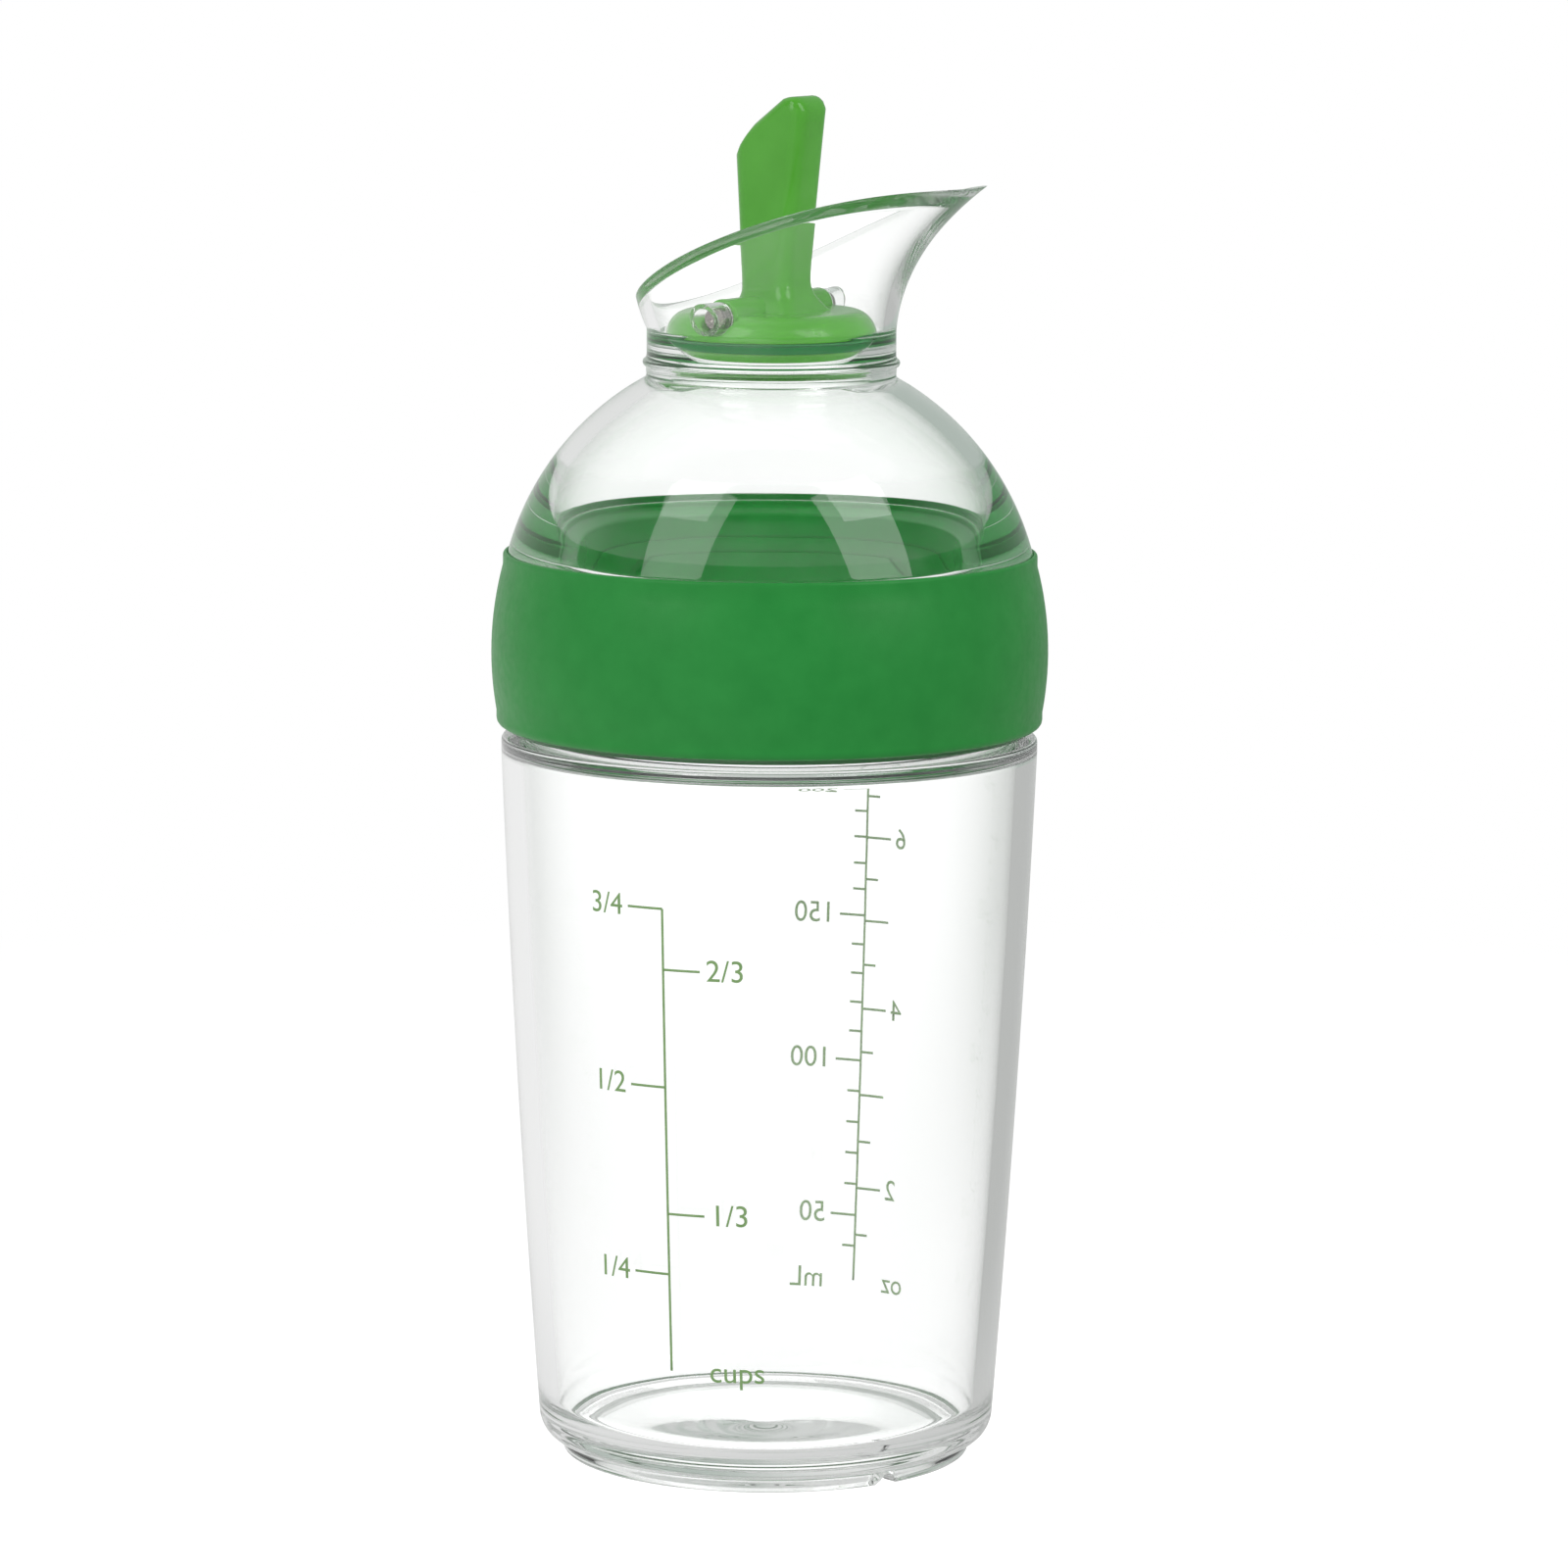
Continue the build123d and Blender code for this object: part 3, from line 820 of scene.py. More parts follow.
def funnel_rows(turn, inset, drop, shares):
    """Rows of the funnel's wall at shares of its height, from its foot to a drop below the rim."""
    top = rise_at_rim(turn, inset) - drop / funnel_height
    rise = shares[:, None] * top[None, :]
    x, y = funnel_reach(rise, turn[None, :], inset)
    return np.stack([x, y, funnel_start + funnel_height * rise], axis=-1)


def rim_rows(outer, inner, steps):
    """Rows that carry the rim's bevel from the outer wall's top to the inner wall's top.

    Both corners are eased: each row is a point of a cubic curve whose two middle points lie
    rim_round along the walls beyond their ends, pulled towards the bevel's line.
    """
    share = np.linspace(0, 1, steps + 2)[1:-1, None, None]
    first, last = outer[-1], inner[0]
    out_way = outer[-1] - outer[-2]
    out_way /= np.linalg.norm(out_way, axis=-1, keepdims=True)
    in_way = inner[0] - inner[1]
    in_way /= np.linalg.norm(in_way, axis=-1, keepdims=True)
    second = first + out_way * rim_round
    third = last + in_way * rim_round
    keep = 1 - share
    return (
        keep ** 3 * first + 3 * keep ** 2 * share * second
        + 3 * keep * share ** 2 * third + share ** 3 * last
    )


def dome_inner_outline():
    """Inside of the lid, from the seat's top down the throat and the dome to the skirt's foot.

    Low down the wall thickens: its inside is r = foot radius - reach s^2, with s from 1 to 0.
    """
    skirt_inner = skirt_radius - skirt_wall + seat_spare
    throat = seat_at(throat_height)
    inner_high = dome_height(throat, dome_wall)
    arc = dome_arc(
        inner_high - 2 * moulded_round, dome_start + dome_foot_start, dome_wall, dome_inner_steps
    )
    share = np.linspace(1, 0, dome_foot_steps)[1:, None]
    foot = np.hstack([
        dome_foot_radius - (dome_foot_radius - arc[-1, 0]) * share ** 2,
        dome_start + dome_foot_end + (dome_foot_start - dome_foot_end) * share,
    ])
    seat_heights = np.linspace(funnel_start - moulded_round / 2, throat_height, seat_steps)
    return np.vstack([
        stretch(seat_at(seat_heights[:-1]), seat_heights[:-1]),
        corner(throat, throat_height, moulded_round / 2),
        corner(throat, inner_high, moulded_round),
        curve(arc),
        curve(foot),
        corner(dome_foot_radius, collar_top, moulded_round / 3),
        corner(skirt_inner, collar_top, moulded_round / 3),
        corner(skirt_inner, skirt_bottom, moulded_round / 2),
    ])


def dome_outer_outline():
    """Outside of the lid, from the skirt's foot up the dome and past the neck's bead."""
    outer_high = dome_height(neck_radius_out, 0)
    bead = ellipse_arc((neck_radius_out, bead_height), (bead_section, bead_section), *bead_arc)
    return np.vstack([
        corner(skirt_radius, skirt_bottom, moulded_round / 2),
        corner(skirt_radius, dome_start - 4 * moulded_round),
        curve(dome_arc(dome_start, outer_high - 2 * moulded_round, 0, dome_steps)),
        corner(neck_radius_out, outer_high, moulded_round),
        curve(bead),
        corner(neck_radius_out, bead_height + 2 * bead_section),
        corner(neck_radius_out, funnel_start - 2 * moulded_round),
    ])


def make_dome():
    """Clear lid in one moulding: skirt, dome, neck with the stopper's seat, funnel and sockets.

    The rim's rows store how much painted glow they carry: s^2 (3 - 2 s) of the share s of the way
    round it. The green painted there stands in for the light that the wall leads up from below.
    """
    turn = angles_round(clear_columns)
    around = np.stack([np.cos(turn), np.sin(turn)], axis=-1)
    profile = rounded(np.vstack([dome_inner_outline(), dome_outer_outline()]))
    lower = np.concatenate(
        [
            profile[:, None, :1] * around[None],
            np.repeat(profile[:, None, 1:], clear_columns, axis=1),
        ],
        axis=-1,
    )
    shares = np.linspace(0, 1, funnel_steps)
    outer = funnel_rows(turn, 0, 0, shares)
    inner = funnel_rows(turn, neck_tube_wall, rim_bevel, shares)[::-1]
    rows = np.concatenate([lower, outer, rim_rows(outer, inner, rim_steps), inner])
    shell = round_shell(rows[..., 0], rows[..., 1], rows[..., 2], closed=True)
    sockets = [across(pin_socket(side), side, pivot_height) for side in (-1, 1)]
    dome = make_piece(
        "clear_spout_dome", [shell, *sockets], clear_plastic("clear_lid", rim_painted_glow),
        "lid", "spout_dome",
    )
    # Painted glow: the rim's rows on the -Y side get a share that turns them green.
    share = np.zeros(len(dome.data.vertices))
    first = (len(lower) + len(outer)) * clear_columns
    side = np.clip((-np.sin(turn) - rim_glow_start) / rim_glow_run, 0, 1)
    green = np.tile(side * side * (3 - 2 * side), rim_steps)
    share[first:first + len(green)] = green
    tint = dome.data.attributes.new("rim_glow_share", "FLOAT", "POINT")
    tint.data.foreach_set("value", share)
    return dome


def pin_socket(side):
    """Clear boss round the hole that an end of the pin turns in, along Z from the pin's middle.

    Its far end follows the funnel's inside, a little short of it.
    """
    near = barrel_half_length + socket_gap
    hole_end = pin_half_length + socket_end_spare
    far = seat_radius + neck_tube_wall / 3
    outline = rounded(np.vstack([
        corner(socket_bore, near, socket_gap / 3),
        corner(socket_radius, near, socket_gap / 2),
        corner(socket_radius, far, socket_gap / 3),
        corner(socket_bore, far, socket_gap / 3),
    ]))

    def follow_wall(radius, height, turn):
        """Moves the far face out to the wall: y = side reach at that height and x."""
        x = radius * np.cos(turn)
        level = pivot_height - side * radius * np.sin(turn)
        rise = np.clip((level - funnel_start) / funnel_height, 0, 1)
        wall = funnel_side(rise) - neck_tube_wall
        reach = np.sqrt(wall ** 2 - x ** 2) - socket_wall_gap
        share = np.clip((height - hole_end) / (far - hole_end), 0, 1)
        return radius, np.where(height > hole_end, hole_end + (reach - hole_end) * share, height)

    return turned(outline, small_columns, shape=follow_wall)


def ring_outline():
    """Section of the green ring: threaded wall, flange, collar, and the plug in the bottle's neck.

    The collar's top and outside are sunk a little into the clear wall that they are bonded to.
    Fine grooves run round the plug's inside.
    """
    outer = ring_radius + ring_sink
    high = collar_top + ring_sink
    collar = dome_foot_radius - ring_clearance
    plug_outer = neck_inner - plug_gap
    plug_inner = plug_outer - plug_wall
    plug_low = flange_height - plug_depth
    flange_top = flange_height + flange_thickness
    wall_rows = np.linspace(
        flange_height - 4 * moulded_round, skirt_bottom + 2 * moulded_round, ring_steps
    )
    groove_round = plug_groove_depth / 4
    grooves = [
        corner(plug_inner + depth, flange_height - plug_depth * share - drop, groove_round)
        for share in plug_groove_shares
        for depth, drop in (
            (0, 0), (plug_groove_depth, 0),
            (plug_groove_depth, plug_groove_width), (0, plug_groove_width),
        )
    ]
    return np.vstack([
        corner(ring_root, skirt_bottom, moulded_round / 3),
        corner(outer, skirt_bottom, moulded_round / 3),
        corner(outer, high, moulded_round / 4),
        corner(collar, high, moulded_round / 2),
        corner(collar, flange_top, moulded_round / 2),
        corner(plug_inner, flange_height, moulded_round),
        *grooves,
        corner(plug_inner, plug_low, plug_wall / 3),
        corner(plug_outer, plug_low, plug_wall / 3),
        corner(plug_outer, flange_height, moulded_round / 4),
        corner(ring_root, flange_height, moulded_round / 3),
        stretch(ring_root, wall_rows),
    ])


def ring_shape(radius, height, turn):
    """Adds the lid's thread, which stands inwards from the ring's wall."""
    drop = (thread_root + thread_crest) / 2 + thread_gap
    below_flange = height < flange_height - moulded_round
    on_wall = (np.abs(radius - ring_root) < moulded_round / 20) & below_flange
    lift = thread_lift(height, turn, shoulder_height + thread_rise - drop)
    return radius - np.where(on_wall, thread_depth * lift, 0), height


def make_thread_ring():
    """Green ring inside the lid, seen through the dome."""
    shell = turned(rounded(ring_outline()), green_columns, shape=ring_shape)
    plastic = moulded_green("ring_green", ring_cloud)
    return make_piece(
        "green_thread_ring", [shell], plastic, "lid", "thread_ring"
    )


def make_gasket():
    """Silicone washer between the bottle's rim and the ring's flange, with rounded edges."""
    inner = neck_inner + ring_lip
    outer = ring_root - ring_clearance
    rounding = (flange_height - rim_height) / 3
    shell = turned(rounded(np.vstack([
        corner(inner, rim_height, rounding),
        corner(outer, rim_height, rounding),
        corner(outer, flange_height, rounding),
        corner(inner, flange_height, rounding),
    ])), gasket_columns)
    rubber = silicone("gasket_silicone", gasket_colour, gasket_clearness)
    return make_piece(
        "white_gasket", [shell], rubber, "lid_lift", "lid_gasket"
    )


def disc_outline():
    """Section of the stopper disc, from under its core round the seal's groove to its crown."""
    ball = stopper_clearance
    low_heights = np.linspace(disc_bottom, groove_bottom, disc_seat_steps)
    groove_low = seat_at(groove_bottom, ball)
    groove_high = seat_at(groove_top, ball)
    groove_floor = groove_low - groove_depth
    core = groove_floor - core_wall
    core_top = disc_top - core_roof
    crown = groove_high - disc_shoulder_run
    shoulder = ellipse_arc(
        (crown, groove_top), (disc_shoulder_run, disc_top - groove_top), *disc_arc
    )
    return np.vstack([
        corner(0, core_top),
        corner(core - core_roof, core_top, disc_round * 2),
        corner(core, disc_bottom, disc_round),
        corner(seat_at(disc_bottom, ball), disc_bottom, disc_round),
        stretch(seat_at(low_heights[1:-1], ball), low_heights[1:-1]),
        corner(groove_low, groove_bottom, disc_round / 2),
        corner(groove_floor, groove_bottom, disc_round / 2),
        corner(groove_floor, groove_top, disc_round / 2),
        corner(groove_high, groove_top, disc_round / 2),
        curve(shoulder),
        curve(bowed_line(
            (crown - disc_round, disc_top), (disc_round, disc_top), 0, disc_crown_steps
        )),
        corner(0, disc_top),
    ])


def disc_shape(radius, height, turn):
    """Hollows the disc's top round the sockets.

    No point over them lies above the pivot's height - sqrt(c^2 - x^2), where c is the socket's
    radius and its gap.
    """
    x = radius * np.cos(turn)
    y = radius * np.sin(turn)
    clear = socket_radius + socket_gap
    hollow = pivot_height - np.sqrt(np.maximum(clear ** 2 - x ** 2, 0))
    beside = (np.abs(x) < clear) & (np.abs(y) > barrel_half_length) & (height > groove_top)
    return radius, np.where(beside, np.minimum(height, hollow), height)


def lever_crown(x):
    """Height of the lever's top over x.

    From the rear it climbs as sin(s pi / 2) to a power, for the share s of the way to its front,
    and at the tip it dips with the square of the way past there.
    """
    rear_height = pivot_height + lever_rear_rise
    share = np.clip((x + lever_rear_high) / (lever_crown_front + lever_rear_high), 0, 1)
    eased = np.sin(share * math.pi / 2) ** lever_climb_power
    climb = rear_height + (lever_top - rear_height) * eased
    dip = np.clip((x - lever_crown_front) / (lever_front_high - lever_crown_front), 0, 1)
    return climb - lever_tip_drop * dip ** 2


def lever_section(rise, inset):
    """x and y round the blade at a rise above the pin, with rounded corners.

    Each corner is an arc of the edge's radius round (a - r, b - r), where a and b are the half
    length and half width there, drawn in by the inset. Near the disc both grow by the flare
    (1 - rise / flare rise) squared.
    """
    full_rise = lever_top - pivot_height
    waist = np.clip((rise - lever_waist_rise) / (full_rise - lever_waist_rise), 0, 1)
    flare = lever_flare * np.clip(1 - rise / lever_flare_rise, 0, 1) ** 2
    rear_flare = flare * lever_rear_flare_share
    rear = lever_rear_low + (lever_rear_high - lever_rear_low) * waist + rear_flare
    front = lever_front_low + (lever_front_high - lever_front_low) * waist + flare
    half_length = (front + rear) / 2
    half_width = lever_half_width + flare
    arc = np.linspace(0, math.pi / 2, lever_corner_steps)
    out = np.concatenate([[1], np.cos(arc), [-0.5]])
    up = np.concatenate([[-0.5], np.sin(arc), [1]])
    sign_x = np.repeat([1, -1, -1, 1], len(out))
    sign_y = np.repeat([1, 1, -1, -1], len(out))
    offset_x = np.concatenate([out, out[::-1], out, out[::-1]])
    offset_y = np.concatenate([up, up[::-1], up, up[::-1]])
    rounding = lever_edge_round
    x = sign_x * (half_length - rounding + rounding * offset_x)
    y = sign_y * (half_width - rounding + rounding * offset_y)
    return (front - rear) / 2 + x * (1 - inset), y * (1 - inset)


def lever_blade():
    """Blade of the lever: rounded sections stacked to the slanted crown, then drawn in to a point.

    A row at share v of the height has z = foot + v (crown(x) - r - foot), where r is the crown's
    rounding. The crown's rows are drawn in by shares of the half width, and rise above that edge
    by sqrt(r^2 - (r - d)^2), where d is how far they are drawn in, up to r.
    """
    foot = pivot_height
    rows = []
    for share in np.concatenate([np.linspace(*lever_foot_rows), np.linspace(*lever_blade_rows)]):
        x, y = lever_section(share * (lever_top - foot), 0)
        z = foot + share * (lever_crown(x) - lever_crown_round - foot)
        rows.append((x, y, z))
    for inset in lever_crown_insets:
        x, y = lever_section(lever_top - foot, inset)
        depth = min(inset * lever_half_width, lever_crown_round)
        edge = lever_crown(x) - lever_crown_round
        z = edge + math.sqrt(lever_crown_round ** 2 - (lever_crown_round - depth) ** 2)
        rows.append((x, y, z))
    first = rows[0]
    rows.insert(0, (np.zeros_like(first[0]), np.zeros_like(first[1]), first[2]))
    x, y, z = (np.stack([row[axis] for row in rows]) for axis in range(3))
    return round_shell(x, y, z, closed=False)


def make_lever():
    """Stopper disc, hinge barrel and lever, in glossy green."""
    disc = turned(rounded(disc_outline()), green_columns, closed=False, shape=disc_shape)
    barrel_outline = rounded(both_halves(np.vstack([
        corner(0, -barrel_half_length),
        corner(barrel_radius, -barrel_half_length, disc_round),
    ])))
    barrel = across(turned(barrel_outline, small_columns, closed=False), 1, pivot_height)
    return make_piece(
        "green_stopper_lever", [disc, barrel, lever_blade()],
        moulded_green("lever_green", lever_cloud), "stopper", "stopper_lever",
    )


def make_seal():
    """Silicone ring in the disc's groove, with a ball-shaped outside."""
    groove_floor = seat_at(groove_bottom, stopper_clearance) - groove_depth
    heights = np.linspace(groove_bottom, groove_top, seal_steps)
    middle = heights[1:-1]
    outline = np.vstack([
        corner(groove_floor, groove_bottom, disc_round / 3),
        corner(seat_at(groove_bottom, seal_clearance), groove_bottom, disc_round / 2),
        stretch(seat_at(middle, seal_clearance), middle),
        corner(seat_at(groove_top, seal_clearance), groove_top, disc_round / 2),
        corner(groove_floor, groove_top, disc_round / 3),
    ])
    shell = turned(rounded(outline), green_columns)
    rubber = silicone("seal_silicone", seal_colour)
    return make_piece(
        "dark_green_seal", [shell], rubber, "stopper", "stopper_seal"
    )


def make_pin():
    """Steel pin with bevelled ends, each with a shallow centre dimple left by turning."""
    dimple = pin_radius / 3
    outline = rounded(both_halves(np.vstack([
        corner(0, dimple / 2 - pin_half_length),
        corner(dimple, -pin_half_length, dimple / 4),
        corner(pin_radius - dimple / 2, -pin_half_length, dimple / 4),
        corner(pin_radius, dimple / 2 - pin_half_length, dimple / 4),
    ])))
    shell = across(turned(outline, pin_columns, closed=False), 1, pivot_height)
    steel = turned_steel()
    return make_piece("steel_hinge_pin", [shell], steel, "stopper", "hinge_pin")


def feed(tree, socket, value):
    """Gives an input a plain value, or links another node's output to it."""
    if isinstance(value, bpy.types.NodeSocket):
        tree.links.new(value, socket)
    else:
        socket.default_value = value


def node(tree, kind, place, *feeds, **values):
    """A shader node at a place on the sheet.

    The values go to its properties or inputs of those names, and the feeds to its first inputs,
    in their order.
    """
    made = tree.nodes.new(kind)
    made.location = (place[0] * sheet_step, place[1] * sheet_step)
    for name, value in values.items():
        if name in made.bl_rna.properties:
            setattr(made, name, value)
        else:
            feed(tree, made.inputs[name.replace("_", " ")], value)
    for socket, value in zip(made.inputs, feeds):
        feed(tree, socket, value)
    return made


def worked_out(tree, operation, place, *values):
    """A number that a Math node works out from plain values or other nodes' outputs."""
    return node(tree, "ShaderNodeMath", place, *values, operation=operation).outputs[0]


def spread(tree, value, source, target, place, kind="LINEAR"):
    """A number taken from the source span to the target span, and held inside it."""
    made = node(tree, "ShaderNodeMapRange", place, Value=value, interpolation_type=kind)
    for name, number in zip(("From Min", "From Max", "To Min", "To Max"), (*source, *target)):
        made.inputs[name].default_value = number
    return made.outputs["Result"]


def colour_between(tree, share, low, high, place):
    """Colour that goes from low to high with a share."""
    mix = node(tree, "ShaderNodeMix", place, data_type="RGBA")
    for index, value in zip(mix_inputs, (share, low, high)):
        feed(tree, mix.inputs[index], value)
    return mix.outputs[mix_colour]


def shader_between(tree, share, low, high, place):
    """Surface or light that goes from low to high with a share."""
    return node(tree, "ShaderNodeMixShader", place, share, low, high).outputs[0]


def empty_material(name):
    """A material with only its output, and that output."""
    material = bpy.data.materials.new(name)
    material.use_nodes = True
    tree = material.node_tree
    tree.nodes.clear()
    return material, tree, node(tree, "ShaderNodeOutputMaterial", (4, 0))


def noise(tree, waves, detail, row):
    """Noise over Object coordinates, with its scale in waves per metre."""
    place = node(tree, "ShaderNodeTexCoord", (-4, row)).outputs["Object"]
    made = node(tree, "ShaderNodeTexNoise", (-3, row), Vector=place, Scale=waves, Detail=detail)
    return made.outputs["Fac"]


def surface(tree, haze, grain, cloud, **values):
    """The surface shader with its own numbers, its haze, and its grain and cloud if it has them."""
    shader = node(tree, "ShaderNodeBsdfPrincipled", (0, 0), **values)
    waves, detail, low, high = haze
    roughness = spread(tree, noise(tree, waves, detail, 1), noise_span, (low, high), (-2, 1))
    tree.links.new(roughness, shader.inputs["Roughness"])
    if grain:
        waves, detail, height, strength = grain
        bump = node(
            tree, "ShaderNodeBump", (-1, -1),
            Strength=strength, Distance=height, Height=noise(tree, waves, detail, -1),
        )
        tree.links.new(bump.outputs["Normal"], shader.inputs["Normal"])
    if cloud:
        darker, lighter, waves = cloud
        share = spread(tree, noise(tree, waves, cloud_detail, 2), noise_span, (0, 1), (-2, 2))
        colour = colour_between(tree, share, darker, lighter, (-1, 2))
        tree.links.new(colour, shader.inputs["Base Color"])
    return shader


def finish(name, haze, grain=None, cloud=None, **values):
    """A material that is one surface shader."""
    material, tree, output = empty_material(name)
    shader = surface(tree, haze, grain, cloud, **values)
    tree.links.new(shader.outputs["BSDF"], output.inputs["Surface"])
    return material


def clear_plastic(name, tint=None):
    """Clear moulded plastic: lets lamps through, with faint moulding waves and handling haze.

    With a tint, the share that the mesh stores for its rim turns the plastic there to that colour:
    a painted glow, which stands in for the green light that the wall leads up from below.
    """
    material, tree, output = empty_material(name)
    shader = surface(
        tree, clear_haze, clear_waves, None,
        Base_Color=clear_tint, IOR=clear_ior, Transmission_Weight=1.0,
    )
    if tint:
        # Painted glow: the stored share turns the rim green and less clear.
        stored = node(tree, "ShaderNodeAttribute", (-4, 4), attribute_name="rim_glow_share")
        share = stored.outputs["Fac"]
        clear = spread(tree, share, (0, 1), (1, rim_glow_clear_share), (-2, 4))
        tree.links.new(clear, shader.inputs["Transmission Weight"])
        colour = colour_between(tree, share, clear_tint, tint, (-2, 5))
        tree.links.new(colour, shader.inputs["Base Color"])
    lamps = node(tree, "ShaderNodeBsdfTransparent", (1, -2))
    shadow = node(tree, "ShaderNodeLightPath", (1, 2)).outputs["Is Shadow Ray"]
    mix = shader_between(tree, shadow, shader.outputs["BSDF"], lamps.outputs["BSDF"], (3, 0))
    tree.links.new(mix, output.inputs["Surface"])
    return material


def moulded_green(name, cloud):
    """Glossy green plastic: slight cloudiness of colour, fine haze and moulding ripple."""
    return finish(name, green_haze, green_ripple, cloud, IOR=green_ior)


def soft_green():
    """Soft-touch green sleeve: matte, with a fine grain and a faint sheen."""
    return finish(
        "soft_grip", grip_haze, grip_grain, grip_cloud,
        IOR=grip_ior, Sheen_Weight=grip_sheen, Sheen_Roughness=grip_sheen_roughness,
    )


def printed_green():
    """Screen-printed green ink, a little uneven in depth and gloss."""
    return finish("printed_green", ink_haze, None, ink_cloud, IOR=ink_ior)


def silicone(name, colour, clearness=0.0):
    """Silicone rubber: soft, slightly waxy, with a fine grain, and cloudy or clear."""
    return finish(
        name, silicone_haze, silicone_grain,
        Base_Color=colour, IOR=silicone_ior, Subsurface_Weight=silicone_wax,
        Subsurface_Scale=silicone_scatter, Transmission_Weight=clearness,
    )


def turned_steel():
    """Turned stainless steel: a metal with uneven polish and a fine tool grain."""
    return finish("pin_steel", steel_haze, steel_grain, Base_Color=steel_grey, Metallic=1.0)


def make_camera():
    """Camera at the photograph's angle: turned about Z, tipped down, then rolled about its view."""
    data = bpy.data.cameras.new("studio_camera")
    data.lens = camera_lens
    data.sensor_width = sensor_width
    camera = add_object("studio_camera", data)
    camera.matrix_world = (
        Matrix.Translation(camera_place)
        @ Matrix.Rotation(lip_turn, 4, "Z")
        @ Matrix.Rotation(math.pi / 2 - camera_drop, 4, "X")
        @ Matrix.Rotation(camera_roll, 4, "Z")
    )
    bpy.context.scene.camera = camera


def make_softbox(name, turn, lift, width, length, level):
    """Soft lamp that faces the lid, turned round it from the camera's side and lifted above it.

    Its width and length are angles, as the lid sees them, and its power is pi x area x level.
    """
    span_x = 2 * softbox_distance * math.tan(math.radians(width) / 2)
    span_y = 2 * softbox_distance * math.tan(math.radians(length) / 2)
    data = bpy.data.lights.new(name, "AREA")
    data.shape = "RECTANGLE"
    data.size = span_x
    data.size_y = span_y
    data.energy = math.pi * span_x * span_y * level
    lamp = add_object(name, data)
    angle = lip_turn + math.radians(turn)
    rise = math.radians(lift)
    flat = softbox_distance * math.cos(rise)
    place = (
        flat * math.sin(angle), -flat * math.cos(angle),
        dome_start + softbox_distance * math.sin(rise),
    )
    lamp.matrix_world = (
        Matrix.Translation(place)
        @ Matrix.Rotation(angle, 4, "Z")
        @ Matrix.Rotation(math.pi / 2 - rise, 4, "X")
    )


def straight_view(tree):
    """1 for a ray that nothing has bounced and 0 for the rest, with the Light Path outputs.

    A straight ray is seen directly or through clear plastic.
    """
    path = node(tree, "ShaderNodeLightPath", (-8, 0)).outputs
    shown = worked_out(
        tree, "MAXIMUM", (-7, 1), path["Is Camera Ray"], path["Is Transmission Ray"]
    )
    depth = worked_out(tree, "ADD", (-7, 0), path["Glossy Depth"], path["Diffuse Depth"])
    never = worked_out(tree, "LESS_THAN", (-6, 0), depth, half_bounce)
    return worked_out(tree, "MULTIPLY", (-5, 0), shown, never), path


def leaning(tree, vector, towards, span, row, kind="SMOOTHSTEP"):
    """How far a vector leans towards a direction, as a share of a span of their dot product."""
    lean = node(tree, "ShaderNodeVectorMath", (-7, row), vector, towards, operation="DOT_PRODUCT")
    return spread(tree, lean.outputs["Value"], span, (0, 1), (-6, row), kind)


def beyond_plastic(tree, vector, place):
    """What stands behind as the plastic shows it: white straight behind, greyer to both sides."""
    span = (-backdrop_side_reach, backdrop_side_reach)
    side = leaning(tree, vector, to_right, span, place[1], "LINEAR")
    ramp = node(tree, "ShaderNodeValToRGB", place, side)
    colours = ramp.color_ramp
    colours.interpolation = "EASE"
    colours.elements[0].color = backdrop_left
    colours.elements[1].color = backdrop_right
    for position in backdrop_white_span:
        colours.elements.new(position).color = plain_white
    return ramp.outputs["Color"]


def make_world():
    """White backdrop for what is seen straight, and a studio room for what is mirrored.

    The room is light on the left and greyer on the right, and dark above on the camera's side.
    """
    world = bpy.data.worlds.new("white_studio")
    bpy.context.scene.world = world
    world.use_nodes = True
    world.cycles.sampling_method = "NONE"
    tree = world.node_tree
    tree.nodes.clear()
    straight, path = straight_view(tree)
    way = node(tree, "ShaderNodeTexCoord", (-8, 3)).outputs["Generated"]
    side = leaning(tree, way, to_right, (-room_side_reach, room_side_reach), 3)
    walls = colour_between(tree, side, room_left, room_right, (-5, 3))
    up = leaning(tree, way, upwards, (room_high_start, room_high_end), 4)
    near = leaning(tree, way, to_camera, (-room_back_reach, room_back_reach), 5)
    above = worked_out(tree, "MULTIPLY", (-5, 4), up, near)
    room = colour_between(tree, above, walls, room_high, (-4, 3))
    mirrored = node(tree, "ShaderNodeBackground", (-2, 3), Color=room)
    fill = node(tree, "ShaderNodeBackground", (-2, 1), Color=room_fill)
    backdrop = node(tree, "ShaderNodeBackground", (-2, -1), Color=plain_white)
    behind = beyond_plastic(tree, way, (-5, -3))
    beyond = node(tree, "ShaderNodeBackground", (-2, -2), Color=behind, Strength=backdrop_level)
    through = shader_between(
        tree, path["Is Camera Ray"], beyond.outputs[0], backdrop.outputs[0], (-1, -1)
    )
    scattered = worked_out(tree, "GREATER_THAN", (-3, 1), path["Diffuse Depth"], half_bounce)
    bounced = shader_between(tree, scattered, mirrored.outputs[0], fill.outputs[0], (-1, 1))
    mix = shader_between(tree, straight, bounced, through, (0, 0))
    node(tree, "ShaderNodeOutputWorld", (1, 0), Surface=mix)


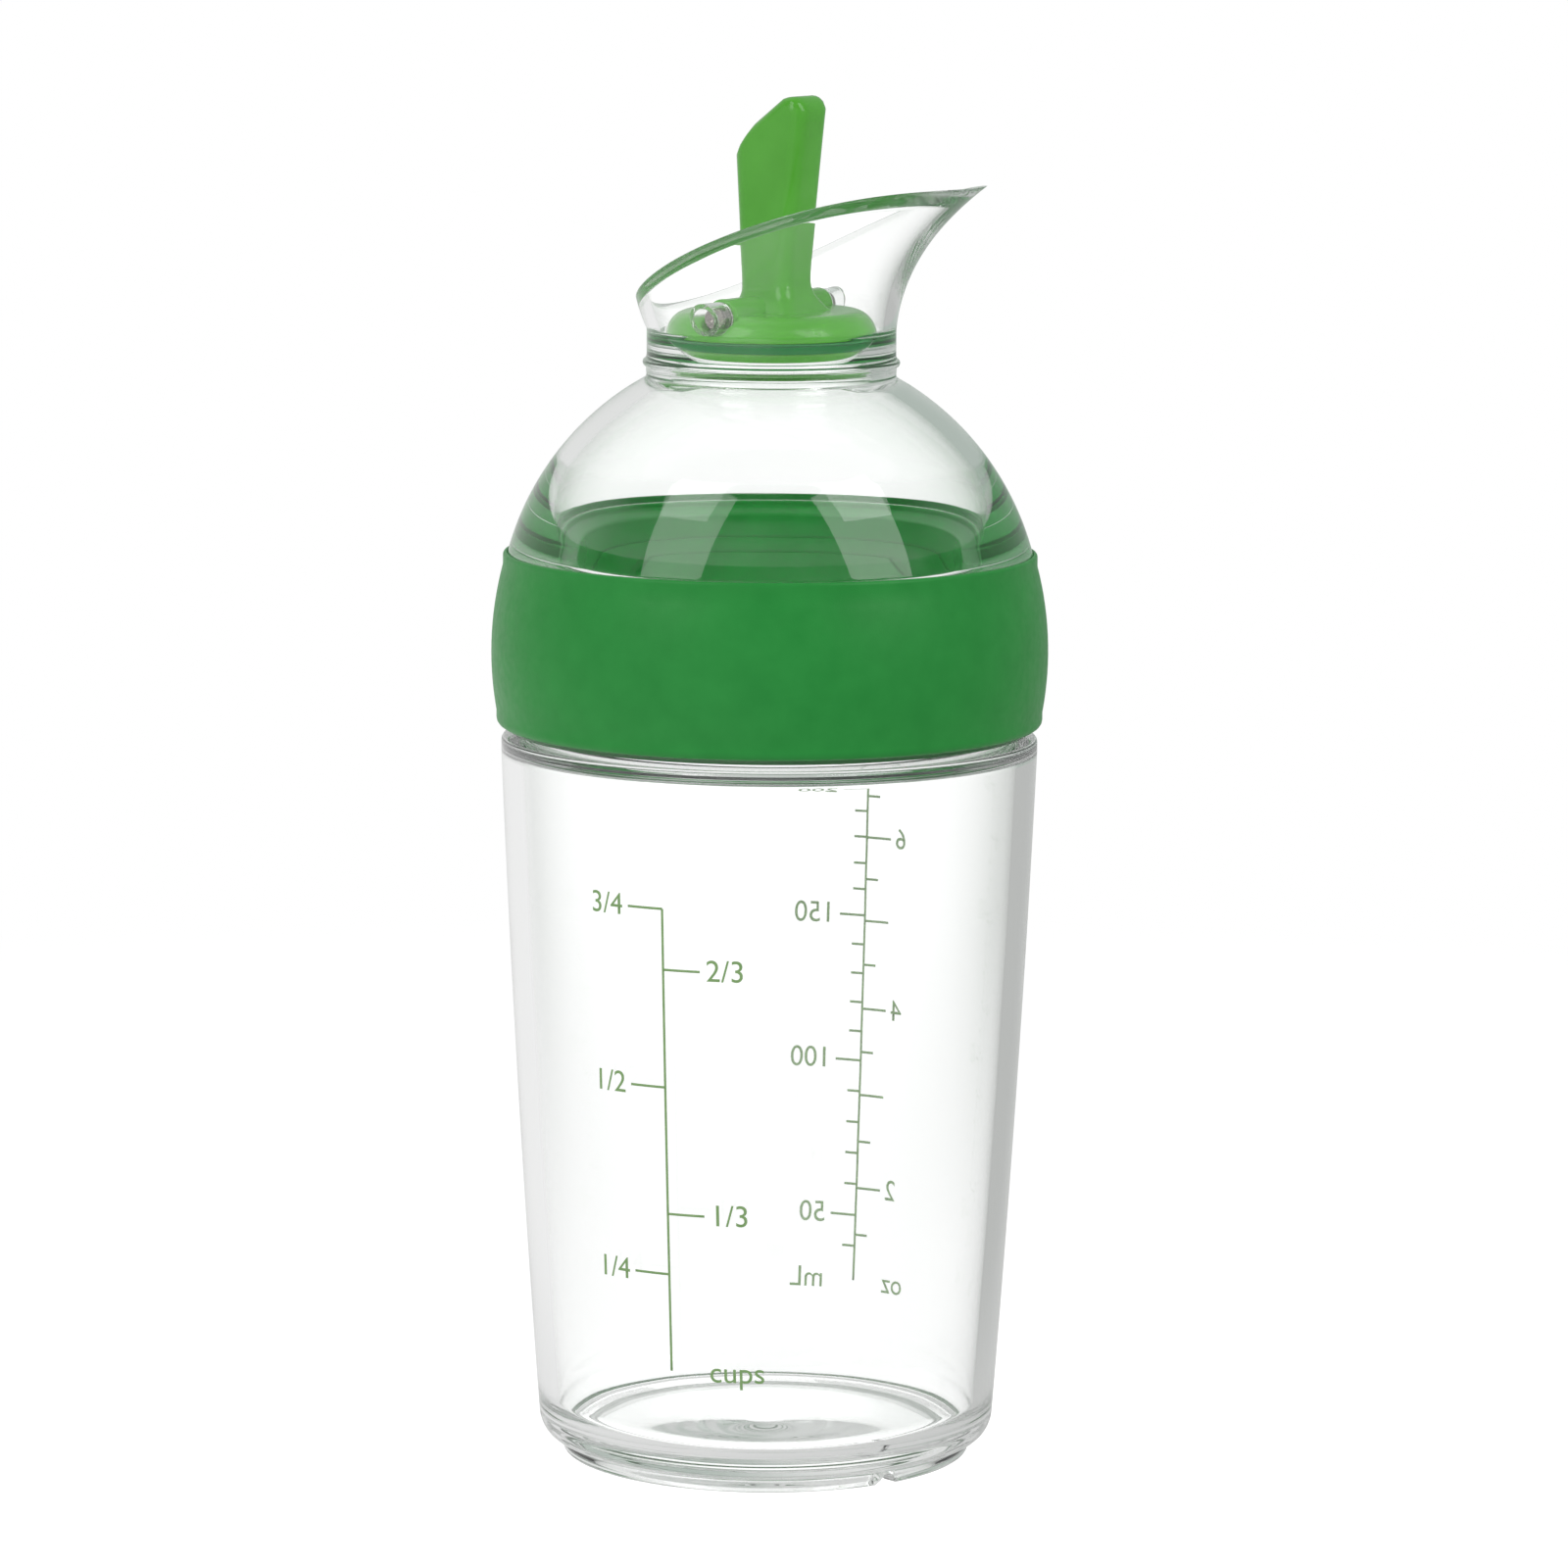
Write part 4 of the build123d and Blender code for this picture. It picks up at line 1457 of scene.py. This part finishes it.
def floor_material():
    """The floor's surface: lit near the bottle, plain white further out, and grey where mirrored.

    Through the plastic the plain part is shaded to both sides, as the backdrop is.
    """
    material, tree, output = empty_material("pale_floor")
    straight, path = straight_view(tree)
    through = path["Is Transmission Ray"]
    place = node(tree, "ShaderNodeTexCoord", (-8, 4)).outputs["Object"]
    length = node(tree, "ShaderNodeVectorMath", (-7, 5), place, operation="LENGTH")
    length = length.outputs["Value"]
    # The glow is plain white inside the foot ring and dimmer outside it: a painted pool of light
    # under the bottle, which shows through its base.
    foot_ring = (foot_radius - foot_width, foot_radius + foot_width)
    outside = spread(tree, length, foot_ring, (0, 1), (-6, 5), "SMOOTHSTEP")
    glow_colour = colour_between(tree, outside, plain_white, floor_glow, (-4, 5))
    glow = node(tree, "ShaderNodeEmission", (-3, 5), Color=glow_colour)
    lit = node(tree, "ShaderNodeBsdfDiffuse", (-3, 4), Color=floor_albedo)
    near = node(tree, "ShaderNodeAddShader", (-2, 4), lit.outputs[0], glow.outputs[0])
    flat = node(tree, "ShaderNodeVectorMath", (-7, 7), place, operation="NORMALIZE")
    behind = beyond_plastic(tree, flat.outputs["Vector"], (-5, 7))
    plain = node(
        tree, "ShaderNodeEmission", (-2, 3),
        Color=colour_between(tree, through, plain_white, behind, (-3, 3)),
        Strength=worked_out(tree, "MULTIPLY_ADD", (-4, 3), through, backdrop_level - 1, 1),
    )
    fade = spread(tree, length, (floor_fade_start, floor_fade_end), (0, 1), (-6, 6))
    seen = shader_between(tree, fade, near.outputs[0], plain.outputs[0], (-1, 4))
    side = leaning(tree, place, to_right, (-floor_side_reach, floor_side_reach), 2)
    grey = colour_between(tree, side, floor_left, floor_right, (-5, 2))
    mirrored = node(tree, "ShaderNodeEmission", (-2, 1), Color=grey)
    mix = shader_between(tree, straight, mirrored.outputs[0], seen, (0, 2))
    tree.links.new(mix, output.inputs["Surface"])
    return material


def make_floor():
    """Round pale floor: rings of points (r cos t, r sin t, 0), with one face in the middle."""
    turn = angles_round(floor_columns)
    rings = np.array(floor_rings)
    x = rings[:, None] * np.cos(turn)
    y = rings[:, None] * np.sin(turn)
    points = np.stack([x, y, np.zeros_like(x)], axis=-1).reshape(-1, 3)
    faces = quads_round(len(rings), floor_columns, False)[:, ::-1].tolist()
    faces.append(list(range(floor_columns)))
    mesh = bpy.data.meshes.new("floor")
    mesh.from_pydata(points.tolist(), [], faces)
    mesh.materials.append(floor_material())
    add_object("floor", mesh)


make_bottle()
make_front_scale()
make_back_scale()
make_gasket()
make_thread_ring()
make_dome()
make_grip_band()
make_lever()
make_seal()
make_pin()
make_camera()
make_world()
make_floor()
make_softbox("left_softbox", *left_softbox)
make_softbox("right_softbox", *right_softbox)

bpy.context.scene.view_settings.view_transform = "Standard"
bpy.context.scene.cycles.max_bounces = all_bounces
bpy.context.scene.cycles.transmission_bounces = clear_bounces
bpy.context.scene.cycles.glossy_bounces = clear_bounces
